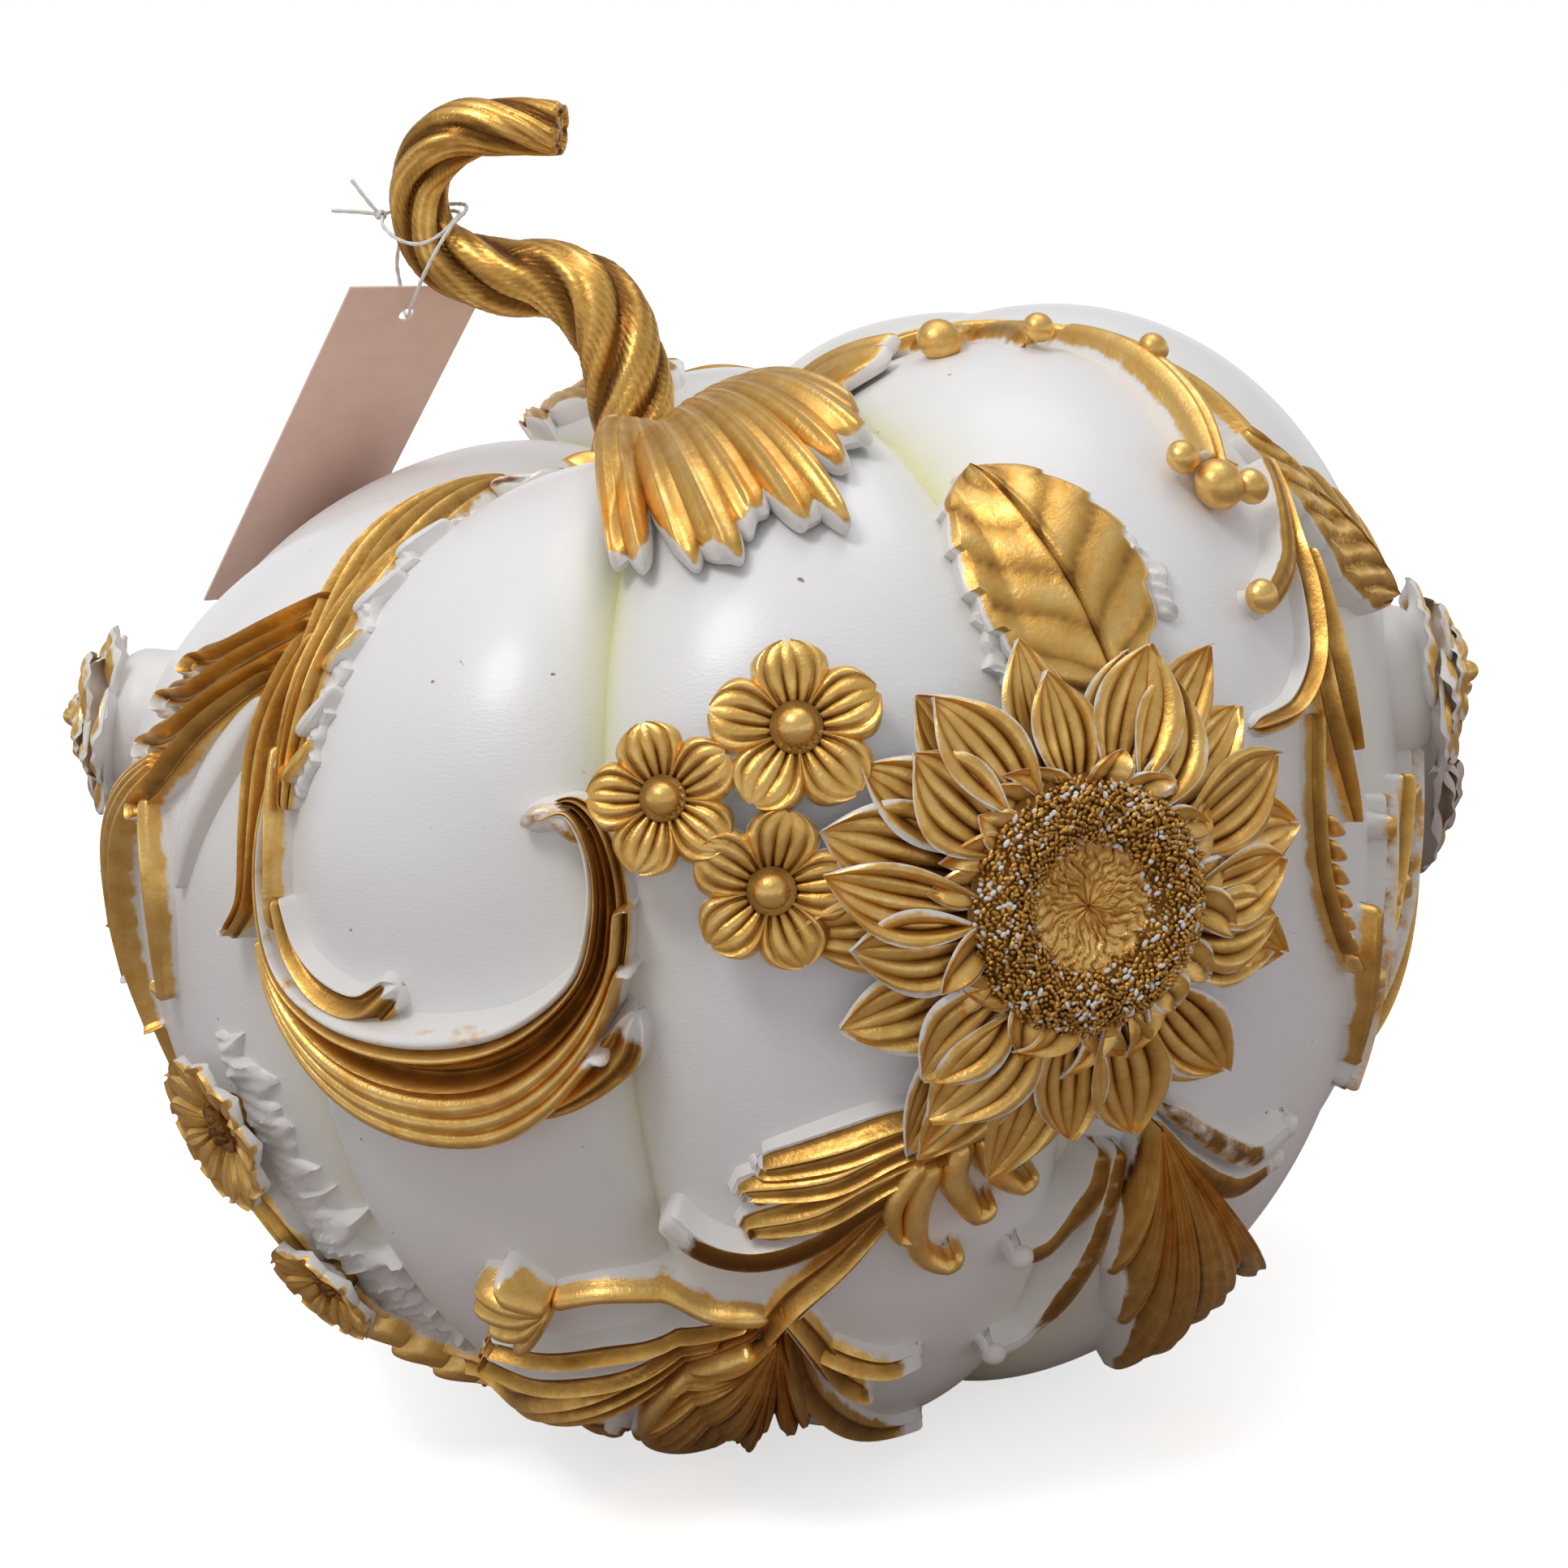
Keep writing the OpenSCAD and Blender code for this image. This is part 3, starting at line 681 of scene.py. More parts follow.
def plain(name, light, dark, scale, rough):
    """A matt material that varies between two colours, with a fine tooth."""
    made, tree, shader = material(name)
    cloud = noise(tree, scale, 4, 0.6)
    tooth = noise(tree, scale * 9, 3, 0.6)
    tree.links.new(ramp(tree, cloud, [(0.3, dark), (0.7, light)]), shader.inputs["Base Color"])
    roughness = spread(tree, tooth, 0.3, 0.7, rough - 0.06, rough + 0.06)
    tree.links.new(roughness, shader.inputs["Roughness"])
    bump(tree, shader, tooth, 0.3, 0.0003)
    return made


SATIN_WHITE = glaze()
ANTIQUE_GOLD = gilt("antique_gold", GOLD_LIGHT, GOLD_MIDDLE, GOLD_ANTIQUE_AND_SHADE)
STEM_GOLD = gilt("stem_gold", GOLD_LIGHT, GOLD_MIDDLE, GOLD_ANTIQUE_AND_SHADE, cover=0.2)
SEED_GOLD = gilt("seed_gold", GOLD_LIGHT, GOLD_MIDDLE, GOLD_ANTIQUE_AND_SHADE, cover=0.5, rough=0.42)
STONE_GOLD = gilt("aged_stone_gold", GOLD_LIGHT, GOLD_MIDDLE, GOLD_ANTIQUE_AND_SHADE, cover=0.86,
                  white=(0.50, 0.44, 0.41), rough=0.5)
THREAD = plain("white_thread", (0.86, 0.86, 0.84), (0.70, 0.69, 0.66), 900, 0.7)
CARD = plain("blank_card", (0.84, 0.595, 0.50), (0.79, 0.55, 0.455), 160, 0.5)

# ---------------------------------------------------------------- camera, floor and light

CAMERA_TARGET = np.array([0.004, 0.0, 0.122])
CAMERA_DISTANCE = 0.640
CAMERA_ELEVATION = 13
CAMERA_ROLL = -6
CAMERA_LENS = 67.1


def camera():
    data = bpy.data.cameras.new("camera")
    data.lens = CAMERA_LENS
    data.sensor_width = 36
    data.clip_start = 0.01
    back = np.array(ray(0, CAMERA_ELEVATION))
    right = np.array([1.0, 0, 0])
    up = np.cross(back, right)
    turn = math.radians(CAMERA_ROLL)
    rolled_right = right * math.cos(turn) + up * math.sin(turn)
    rolled_up = up * math.cos(turn) - right * math.sin(turn)
    basis = Matrix([rolled_right, rolled_up, back]).transposed().to_4x4()
    place = Matrix.Translation(CAMERA_TARGET + back * CAMERA_DISTANCE)
    piece = bpy.data.objects.new("camera", data)
    piece.matrix_world = place @ basis
    bpy.context.scene.collection.objects.link(piece)
    bpy.context.scene.camera = piece


def plane(name, size, z, colour, glow=0.0):
    half = size / 2
    mesh = bpy.data.meshes.new(name)
    corners = [(-half, -half, z), (half, -half, z), (half, half, z), (-half, half, z)]
    mesh.from_pydata(corners, [], [(0, 1, 2, 3)])
    made, _, shader = material(name)
    shader.inputs["Base Color"].default_value = (*colour, 1)
    shader.inputs["Roughness"].default_value = 0.9
    shader.inputs["Emission Color"].default_value = (1, 1, 1, 1)
    shader.inputs["Emission Strength"].default_value = glow
    mesh.materials.append(made)
    piece = bpy.data.objects.new(name, mesh)
    bpy.context.scene.collection.objects.link(piece)
    return piece


def area_light(name, place, target, size, power, colour=(1, 1, 1)):
    data = bpy.data.lights.new(name, "AREA")
    data.shape = "DISK"
    data.size = size
    data.energy = power
    data.color = colour
    piece = bpy.data.objects.new(name, data)
    piece.location = place
    aim = Vector(target) - Vector(place)
    piece.rotation_euler = aim.to_track_quat("-Z", "Y").to_euler()
    bpy.context.scene.collection.objects.link(piece)


def studio():
    floor = plane("floor", 24, 0.0, (0.95, 0.95, 0.95), glow=0.64)
    floor.visible_diffuse = False
    floor.visible_glossy = False
    table = plane("warm_bounce", 4, -0.001, (0.46, 0.38, 0.35))
    table.visible_camera = False
    table.visible_shadow = False
    scene = bpy.context.scene
    world = bpy.data.worlds.new("studio")
    world.use_nodes = True
    tree = world.node_tree
    place = tree.nodes.new("ShaderNodeTexCoord")
    split = tree.nodes.new("ShaderNodeSeparateXYZ")
    tree.links.new(place.outputs["Generated"], split.inputs["Vector"])
    height = spread(tree, split.outputs["Z"], -1, 1)
    room = ramp(tree, height, [
        (0.0, (0.3, 0.26, 0.24)), (0.46, (0.5, 0.47, 0.45)), (0.48, (1, 1, 1)),
        (0.56, (1, 1, 1)), (0.66, (0.36, 0.36, 0.37)), (0.85, (0.5, 0.5, 0.51)),
        (1.0, (0.8, 0.8, 0.8)),
    ])
    background = tree.nodes["Background"]
    tree.links.new(room, background.inputs["Color"])
    background.inputs["Strength"].default_value = 1.0
    scene.world = world
    area_light("key", (-0.40, -0.55, 1.15), (0, 0, 0.12), 0.4, 4.2, (1, 0.98, 0.95))
    area_light("top", (0.25, 0.15, 1.3), (0, 0, 0.12), 0.8, 2.6)
    scene.view_settings.view_transform = "Standard"


camera()
studio()

# ---------------------------------------------------------------- thread, knot and card

# The route of part.scad, in metres.
THREAD_ROUTE = [
    (-0.0694, 0.0200, 0.2515), (-0.0688, 0.0155, 0.2495), (-0.0656, 0.0120, 0.2466),
    (-0.0613, 0.0109, 0.2453), (-0.0570, 0.0120, 0.2466), (-0.0536, 0.0156, 0.2494),
    (-0.0528, 0.0205, 0.2506), (-0.0555, 0.0260, 0.2512), (-0.0610, 0.0282, 0.2504),
    (-0.0663, 0.0276, 0.2466), (-0.0684, 0.0280, 0.2415), (-0.0686, 0.0304, 0.2360),
    (-0.0690, 0.0313, 0.2323), (-0.0680, 0.0290, 0.2296), (-0.0670, 0.0260, 0.2298),
    (-0.0660, 0.0210, 0.2316), (-0.0638, 0.0150, 0.2346), (-0.0610, 0.0110, 0.2390),
    (-0.0576, 0.0100, 0.2438), (-0.0540, 0.0120, 0.2484), (-0.0513, 0.0164, 0.2508),
    (-0.0516, 0.0224, 0.2522), (-0.0556, 0.0278, 0.2526), (-0.0614, 0.0296, 0.2526),
    (-0.0670, 0.0274, 0.2524), (-0.0696, 0.0234, 0.2520),
]
THREAD_DIAMETER = 0.0009
KNOT_AT = np.array([-0.0700, 0.0216, 0.2520])
TAILS = [[(-4, -1, 1), (-10, -2, 2)], [(-2, -1, 3), (-5, -1, 8)]]


def frames(points):
    """Two directions across a path at each of its points, without twist."""
    along = unit(np.gradient(points, axis=0))
    across = [unit(np.cross(along[0], [0.3, 0.9, 0.2]))]
    for direction in along[1:]:
        last = across[-1]
        across.append(unit(last - direction * np.dot(last, direction)))
    across = np.array(across)
    return across, np.cross(along, across)


def sweep(form, points, radius, sides, paint=1.0, recess_tint_and_shade=0.0, caps=()):
    """Tube along points in mm. radius has a row for each point and a column for each side;
    caps are extra rings past the end, as [share of the last radius, distance along]."""
    across, other = frames(points)
    angle = np.linspace(0, 2 * math.pi, sides, endpoint=False)
    spokes = (across[:, None] * np.cos(angle)[None, :, None]
              + other[:, None] * np.sin(angle)[None, :, None])
    rings = points[:, None] + spokes * np.broadcast_to(radius, (len(points), sides))[..., None]
    paint = np.broadcast_to(paint, rings.shape[:2])
    recess_tint_and_shade = np.broadcast_to(recess_tint_and_shade, rings.shape[:2])
    end = unit(points[-1] - points[-2])
    for share, beyond in caps:
        ring = points[-1] + (rings[len(points) - 1] - points[-1]) * share + end * beyond
        rings = np.concatenate([rings, ring[None]])
        paint = np.concatenate([paint, paint[-1:]])
        recess_tint_and_shade = np.concatenate([recess_tint_and_shade, recess_tint_and_shade[-1:]])
    n = len(rings)
    flat = rings.reshape(-1, 3)
    hubs = np.array([rings[0].mean(0), rings[-1].mean(0)])
    first = hub_fan(n * sides, 0, sides)
    last = hub_fan(n * sides + 1, (n - 1) * sides, sides)[:, TURNED]
    form.add(
        np.vstack([flat, hubs]),
        np.vstack([tube_quads(n, sides)[:, ::-1], first, last]),
        np.concatenate([paint.ravel(), [1.0, 1.0]]),
        np.concatenate([recess_tint_and_shade.ravel(), [0.0, 0.0]]),
    )


def two_ply(form, points, diameter):
    """Twisted thread along points in mm."""
    sides = 12
    run = np.concatenate([[0], np.cumsum(np.linalg.norm(np.diff(points, axis=0), axis=1))])
    at = np.linspace(0, run[-1], int(run[-1] / 0.3))
    path = np.stack([np.interp(at, run, points[:, k]) for k in range(3)], -1)
    angle = np.linspace(0, 2 * math.pi, sides, endpoint=False)
    turn = at / (3.2 * diameter) * 2 * math.pi
    radius = diameter / 2 * (0.9 + 0.12 * np.cos(2 * (angle[None, :] - turn[:, None] / 2)))
    sweep(form, path, radius, sides)


def thread():
    path = spline(THREAD_ROUTE, 8)
    form = Form("tag_loop")
    two_ply(form, path * 1000, THREAD_DIAMETER * 1000)
    loop = form.object(THREAD, "tag_thread", "white_thread", smooth=0)
    knot = Form("tag_knot")
    centre = KNOT_AT * 1000
    t = np.linspace(0, 2 * math.pi, 60)
    wrap = np.stack([np.sin(t) + 2 * np.sin(2 * t), np.cos(t) - 2 * np.cos(2 * t),
                     -np.sin(3 * t)], -1)
    sweep(knot, centre + wrap * [0.34, 0.34, 0.6], 0.46, 12)
    for tail in TAILS:
        steps = [centre] + [centre + np.array(step) for step in tail]
        two_ply(knot, spline(steps, 8), THREAD_DIAMETER * 1000)
    knot = knot.object(THREAD, "thread_knot", "white_thread", smooth=0)


def price_card():
    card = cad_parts["price_tag"]
    card.data.materials.clear()
    card.data.materials.append(CARD)


# ---------------------------------------------------------------- stem

STEM_ROUTE = [
    (-18, 0, 174, 10.2), (-20, 2, 190, 9.4), (-20, 6, 210, 9.2), (-22, 9, 222, 9.1),
    (-27, 12, 231, 8.8), (-35, 15, 235, 8.3), (-44, 17, 236, 8.2), (-53, 19, 239.5, 7.9),
    (-58.5, 20, 243.5, 7), (-61, 20, 250, 6.3), (-60.5, 20, 258, 6.3),
    (-56, 18.5, 264.5, 6.4), (-48.5, 17, 268, 6.3), (-38, 14.5, 267.5, 6),
    (-29, 12, 266, 5.8),
]
STEM_TURNS = 1.9
STEM_STRANDS = 4


def stem():
    """Rope-like stalk of uneven twisted strands with bark lines and a flat cut end."""
    rows = spline(STEM_ROUTE, 14)
    rows, run = resample(rows, rows[:, :3], 0.9)
    sides = 160
    angle = np.linspace(0, 2 * math.pi, sides, endpoint=False)[None, :]
    u = (run / run[-1])[:, None]
    twist = 2 * math.pi * STEM_TURNS * u + 0.5 * np.sin(5 * u)
    around = angle - twist
    strand = np.abs(np.cos(STEM_STRANDS / 2 * around + 0.35 * np.sin(around)))
    valley = np.clip(1 - strand * 1.35, 0, 1) ** 1.2
    line = np.abs(np.sin(7.5 * around + 1.3 * np.sin(2 * around + 9 * u)))
    fine = np.abs(np.sin(16 * around + 2.1 * np.sin(3 * around - 14 * u)))
    knob = 0.045 * np.sin(3 * around + 17 * u) * np.sin(11 * u + around)
    shape = 1.04 - 0.24 * valley - 0.06 * (1 - line) ** 2 - 0.03 * (1 - fine) ** 2 + knob
    flare = 1 + 0.5 * np.clip((0.2 - u) / 0.2, 0, 1) ** 1.5
    radius = rows[:, 3:4] * shape * flare
    # Painted shade in the valleys between strands and along the bark lines.
    recess_tint_and_shade = np.clip(valley * 1.1 + 0.35 * (1 - line) + 0.2 * (1 - fine), 0, 1)
    form = Form("twisted_stem")
    cut_end = [(0.94, 0.5), (0.78, 0.6), (0.72, -0.1), (0.5, -0.2), (0.44, 0.3), (0.2, 0.35)]
    sweep(form, rows[:, :3], radius, sides, 1.0, recess_tint_and_shade, cut_end)
    form.object(STEM_GOLD, "stem", "stem_gold")


# ---------------------------------------------------------------- flowers

SUN = (21.5, 1)
SUN_RADIUS = 52.5
SEED_RADIUS = 20.4
GRAIN_COUNT = 1500
GRAIN_INNER = 9.9  # where the grains begin, from the middle
GRAIN_TURN = 2.399963  # golden angle, in radians
BUTTON_RADIUS = 10.8


def sunflower():
    chance = np.random.default_rng(7)
    rings = [
        ("sunflower_outer_rays", "sunflower_back_petals", 17, 0.98, (5.0, 5.5), 15.5, 8),
        ("sunflower_inner_rays", "sunflower_front_petals", 15, 0.86, (9.0, 11.0), 15, -3),
    ]
    for name, node, count, size, rise, width, start in rings:
        form = Form(name)
        for k in range(count):
            turn = start + 360 * k / count + chance.uniform(-7, 7)
            outer = SUN_RADIUS * size * chance.uniform(0.86, 1.04)
            cup = chance.uniform(2.0, 4.2)
            tilt = chance.uniform(-1.0, 1.8)
            roll = chance.uniform(-1.3, 1.3)

            def height(u, v, cup=cup, tilt=tilt, roll=roll):
                arch = rise[1] + 1.2 * np.sin(math.pi * np.clip(u * 0.95, 0, 1)) ** 0.8
                tip = (rise[0] - rise[1] + tilt) * u**2
                return arch + tip + cup * v**2 * (1 - 0.5 * u) + roll * v * u

            petal(
                form, SUN, turn, SEED_RADIUS * 0.8, outer, width * chance.uniform(0.85, 1.12),
                height, half=lambda u: oval(u * 0.97 + 0.03, 0.56, 0.85), ridges=5,
                groove=0.8, thick=1.5, sway=chance.uniform(-0.12, 0.12), rows=22, cols=31,
                paint=chance.choice([0.72, 0.9, 1.05]), rim=0.45,
            )
        form.object(ANTIQUE_GOLD, node, "antique_gold")
    bracts = Form("sunflower_bract_curls")
    for k in range(22):
        turn = 360 * k / 22 + chance.uniform(-6, 6)
        stand = chance.uniform(1.5, 4.5)

        def height(u, v, stand=stand):
            return 11.5 + stand * np.sin(math.pi * 0.8 * u) + 1.2 * v**2 - 1.5 * u**3

        petal(
            bracts, SUN, turn, SEED_RADIUS * 0.86, SEED_RADIUS * chance.uniform(1.2, 1.42),
            7.5, height, half=lambda u: oval(u * 0.95 + 0.05, 0.45, 0.8), ridges=2,
            groove=0.5, thick=1.2, sway=chance.uniform(-0.4, 0.4), rows=10, cols=11,
            paint=chance.uniform(0.6, 1.0),
        )
    bracts.object(ANTIQUE_GOLD, "sunflower_bracts", "antique_gold")
    seed_head(chance)
    seed_button()


def seed_rise(r):
    """Height of the seed ring's crown over the body at a distance from its middle."""
    inner, outer = 9.6, SEED_RADIUS + 0.5
    t = np.clip((r - inner) / (outer - inner), 0, 1)
    return 11.5 + 5.4 * np.sin(math.pi * (0.12 + 0.76 * t)) ** 0.8


def seed_head(chance):
    """A raised ring packed with short, uneven, worm-like grains."""
    form = Form("sunflower_grains")
    angle = np.linspace(0, 2 * math.pi, 97)[:-1]
    r = np.linspace(9.3, SEED_RADIUS + 1, 16)
    top = over(SUN, np.outer(np.cos(angle), r), np.outer(np.sin(angle), r),
               seed_rise(r)[None, :] - 0.8)
    low = over(SUN, np.outer(np.cos(angle), r), np.outer(np.sin(angle), r), 8.5)
    section = np.concatenate([top, low[:, ::-1]], 1)
    quads = tube_quads(97, section.shape[1])
    quads = quads % (96 * section.shape[1])
    # The ring under the grains is darkened as painted shade between them.
    form.add(section, quads, 0.7, 0.75)
    east, north, out = local_axes(*SUN)
    spot = 0.0
    for k in range(GRAIN_COUNT):
        share = (k + 0.5) / GRAIN_COUNT
        outer = (SEED_RADIUS + 0.4) ** 2
        radius = math.sqrt(GRAIN_INNER**2 + share * (outer - GRAIN_INNER**2))
        spot += GRAIN_TURN
        radius += chance.uniform(-0.3, 0.3)
        x, y = radius * math.cos(spot), radius * math.sin(spot)
        lean = chance.uniform(0, math.pi)
        first = math.cos(lean) * east + math.sin(lean) * north
        second = np.cross(out, first)
        size = chance.uniform(0.34, 0.52)
        place = over(SUN, x, y, seed_rise(radius) - 0.25 + chance.uniform(-0.3, 0.35))
        form.blob(place, [first, second, out], [size * chance.uniform(1.1, 1.9), size, size],
                  paint=chance.choice([0.3, 0.7, 0.95, 1.1], p=[0.14, 0.2, 0.36, 0.3]),
                  recess_tint_and_shade=chance.uniform(0.0, 0.6),
                  rows=5, around=8)
    form.object(SEED_GOLD, "sunflower_seed_ring", "seed_gold")


def seed_button():
    """The sunken middle: uneven radial wrinkles round a small rayed star."""
    form = Form("sunflower_star")
    around = 288
    angle = np.linspace(0, 2 * math.pi, around + 1)[:-1][:, None]
    r = np.linspace(0.25, BUTTON_RADIUS, 40)[None, :]
    bent = angle + 0.1 * np.sin(3 * angle + 0.7 * r) + 0.05 * np.sin(11 * angle - 1.9 * r)
    star = np.abs(np.cos(4.5 * bent + 0.5)) ** 0.8
    ray_line = np.abs(np.sin(13 * bent + 1.1 * np.sin(r * 0.7))) ** 0.8
    fine = np.abs(np.sin(31 * bent + 2.0 * np.sin(1.3 * r + 2 * angle)))
    bowl = 11.4 + 2.2 * (r / BUTTON_RADIUS) ** 2 + 1.2 * star * np.clip(1 - r / 4.6, 0, 1) ** 0.7
    patchy = 0.55 + 0.45 * np.sin(2.2 * r + 4 * np.sin(5 * angle))
    wrinkle = (0.5 * ray_line + 0.45 * fine * patchy) * np.clip((r - 2) / 3, 0, 1)
    top = over(SUN, r * np.cos(angle), r * np.sin(angle), bowl + wrinkle)
    low = over(SUN, r * np.cos(angle), r * np.sin(angle), 9.6)
    section = np.concatenate([top, low[:, ::-1]], 1)
    # Painted shade between the wrinkles, darkest where they are lowest.
    dark = np.clip(0.8 - wrinkle / 0.5, 0, 0.8) * np.clip((r - 2) / 3, 0, 1)
    recess_tint_and_shade = np.concatenate([dark, dark[:, ::-1]], 1)
    quads = tube_quads(around + 1, section.shape[1]) % (around * section.shape[1])
    form.add(section, quads, 1.0, recess_tint_and_shade)
    form.object(SEED_GOLD, "sunflower_button", "seed_gold")


def blossom(name, node, at, radius, turn):
    """Five wide petals with raised rims and grooves that fade half way, round a bead."""
    form = Form(name)
    for k in range(5):
        def height(u, v):
            return 4.2 + 3.2 * np.sin(math.pi * 0.62 * u) - 1.3 * v**2 * u + 0.9 * v**2

        petal(
            form, at, turn + 72 * k, radius * 0.08, radius * 0.97, radius * 0.86, height,
            half=lambda u: np.maximum(oval(u * 0.985 + 0.015, 0.64, 0.5), 0.16), ridges=5,
            groove=0.75, thick=2.6, rows=26, cols=33, notch=0.05, rim=0.45,
        )
    bead_lift = 6.2
    east, north, out = local_axes(*at)
    bead(form, *at, radius * 0.225, bead_lift, 0.8)
    for k in range(16):
        a = 2 * math.pi * k / 16
        place = over(at, radius * 0.25 * math.cos(a), radius * 0.25 * math.sin(a), bead_lift - 0.9)
        form.blob(place, [east, north, out], [0.75, 0.75, 0.7], recess_tint_and_shade=0.5, rows=5, around=8)
    stalk(form, at, 2.0, 6.0, radius * 0.3)
    form.object(ANTIQUE_GOLD, node, "antique_gold")


def stalk(form, at, low, high, radius):
    """A short post under a flower, so that it stands on the body."""
    points = np.array([carrier(at[0], at[1], h) for h in np.linspace(low - 6, high, 5)])
    # Darkened as painted shade, since the post stands under the flower.
    sweep(form, points, radius, 24, 0.9, 0.7)


def daisy(name, node, at, radius, count, turn=0):
    form = Form(name)
    for k in range(count):
        def height(u, v):
            return 3.4 + 3.2 * np.sin(math.pi * 0.6 * u) + 0.9 * v**2 - 1.4 * (1 - u) ** 2

        petal(
            form, at, turn + 360 * k / count, radius * 0.2, radius * 1.03,
            2.4 * math.pi * radius / count, height,
            half=lambda u: np.maximum(oval(u * 0.98 + 0.02, 0.66, 0.55), 0.2), ridges=3,
            groove=0.8, thick=2.2, rows=20, cols=21, rim=0.35,
        )
    east, north, out = local_axes(*at)
    for k in range(9):
        a = 2.4 * k
        r = radius * 0.055 * math.sqrt(k) * 1.1
        place = over(at, r * math.cos(a), r * math.sin(a), 4.4)
        form.blob(place, [east, north, out], [radius * 0.09] * 3, recess_tint_and_shade=0.8, rows=6, around=8)
    stalk(form, at, 1.0, 4.4, radius * 0.34)
    form.object(ANTIQUE_GOLD, node, "antique_gold")


def cupped(form, at, turn, span, radius, foot, rim, roll, ruffle=0.0, paint=1.0, lean=0.0):
    """One petal of a full flower: part of a bowl whose rim rolls outward. foot and rim are
    its heights off the body, and span half the angle that it goes round the bowl."""
    u = np.linspace(0, 1, 22)[:, None]
    v = np.linspace(-1, 1, 25)[None, :]
    wide = np.maximum(oval(u * 0.985 + 0.015, 0.66, 0.42), 0.4)
    angle = math.radians(turn) + math.radians(span) * wide * v
    over_rim = np.clip((u - 0.72) / 0.28, 0, 1)
    out = radius * (0.12 + 0.88 * u**0.85 * (1 - 0.07 * v**2)) + roll * over_rim**1.5
    out = out + ruffle * u**2 * np.sin(3.4 * v + turn)
    rise = foot + (rim - foot) * np.sin(math.pi / 2 * u) ** 1.4 * (1 - 0.16 * v**2)
    rise = rise - 0.9 * roll * over_rim**2 + 0.4 * np.sin(9 * v) * u**2 + lean * v * u
    east, north, outward = local_axes(*at)
    origin = carrier(*at)

    def place(r, h):
        x, y, z = np.broadcast_arrays(r * np.cos(angle), r * np.sin(angle), h)
        return origin + x[..., None] * east + y[..., None] * north + z[..., None] * outward

    inside = np.clip((1 - np.abs(v)) * 5, 0, 1) * np.clip((1 - u) * 8, 0, 1)
    thick = 0.7 + 0.9 * inside
    top = place(out, rise)
    low = place(out + thick * 0.9, rise - thick)
    laid = paint * (0.45 + 0.55 * inside)
    # Painted shade deep in the bowl towards the petal's foot, and in its folds.
    recess_tint_and_shade = np.clip(0.9 - 1.4 * u, 0, 1) + 0.25 * np.abs(np.sin(7 * v)) * (1 - u)
    form.shell(top, low, laid, np.clip(recess_tint_and_shade, 0, 1), low_paint=0.12 * np.ones_like(laid))


def rose(name, node, at, radius, height, seed, material, slot):
    """A full flower: whorls of wide cupped petals round a closed heart, on a round base."""
    chance = np.random.default_rng(seed)
    form = Form(name)
    whorls = [(1.0, 0.0, 0.62, 5, 50), (0.82, 0.1, 0.82, 5, 48), (0.6, 0.25, 0.95, 4, 58),
              (0.4, 0.4, 1.02, 3, 70), (0.2, 0.5, 1.06, 3, 80)]
    for k, (size, foot, rim, count, span) in enumerate(whorls):
        for j in range(count):
            cupped(
                form, at, 41 * k + 360 * j / count + chance.uniform(-7, 7),
                span * chance.uniform(0.9, 1.1), radius * size * chance.uniform(0.92, 1.0),
                height * foot + 0.5, height * rim * chance.uniform(0.92, 1.06),
                radius * 0.1 * chance.uniform(0.6, 1.4), ruffle=chance.uniform(0.2, 1.1),
                paint=chance.uniform(0.75, 1.1), lean=chance.uniform(-1, 1),
            )
    lifts = np.linspace(-7, height * 0.42, 9)
    rings = np.array([carrier(at[0], at[1], lift) for lift in lifts])
    body = radius * np.sqrt(np.clip(1 - (np.clip(lifts, 0, None) / (height * 0.6)) ** 2, 0.2, 1))
    sweep(form, rings, (0.84 * body)[:, None], 48, 0.1, 0.3)
    bead(form, *at, radius * 0.13, height * 0.95, 1.3)
    form.object(material, node, slot)


# ---------------------------------------------------------------- leaves and scrolls


def relief(build):
    """One applied sprig: build lays its blades, leaves and beads on a form, and has the name
    of its node."""
    node = build.__name__
    form = Form(node + "_relief")
    build(form)
    form.object(ANTIQUE_GOLD, node, "antique_gold")


def stem_leaf(form):
    """A wide pleated leaf that hangs from the stem."""
    edge = [(-70, 63), (-38, 60), (-20, 50), (-15.5, 42), (-13.5, 34), (-9, 31), (-4, 30),
            (1, 31), (6, 31.5), (10, 33.5), (13.5, 38), (17.5, 45), (24, 53), (38, 61),
            (62, 65)]
    fan(form, (-42, 72), edge, 18, 5, 8.5, depth=1.6, notch=0.15, crest=1.6, bare=0.12, thin=2,
        keel=0.9)


def sunflower_leaf(form):
    route = [[25.5, 36.5, 3, 3], [26, 33.5, 21, 4.5], [27, 28, 34, 5], [28, 22, 34, 5],
             [28.5, 15, 20, 5]]
    leaf(form, route, teeth=6, pleats=5)
    flash(form, [[21, 17, 5, 2.4], [20.6, 22, 6, 2.8], [21.6, 27, 5, 2.6], [24, 33, 5, 2.2],
                 [25.6, 37, 3, 1.6]], 31)
    flash(form, [[29, 34, 4, 2], [32.6, 29.5, 6, 2.6], [35.6, 24, 8, 2.8], [36.6, 19, 6, 2.4]], 32)


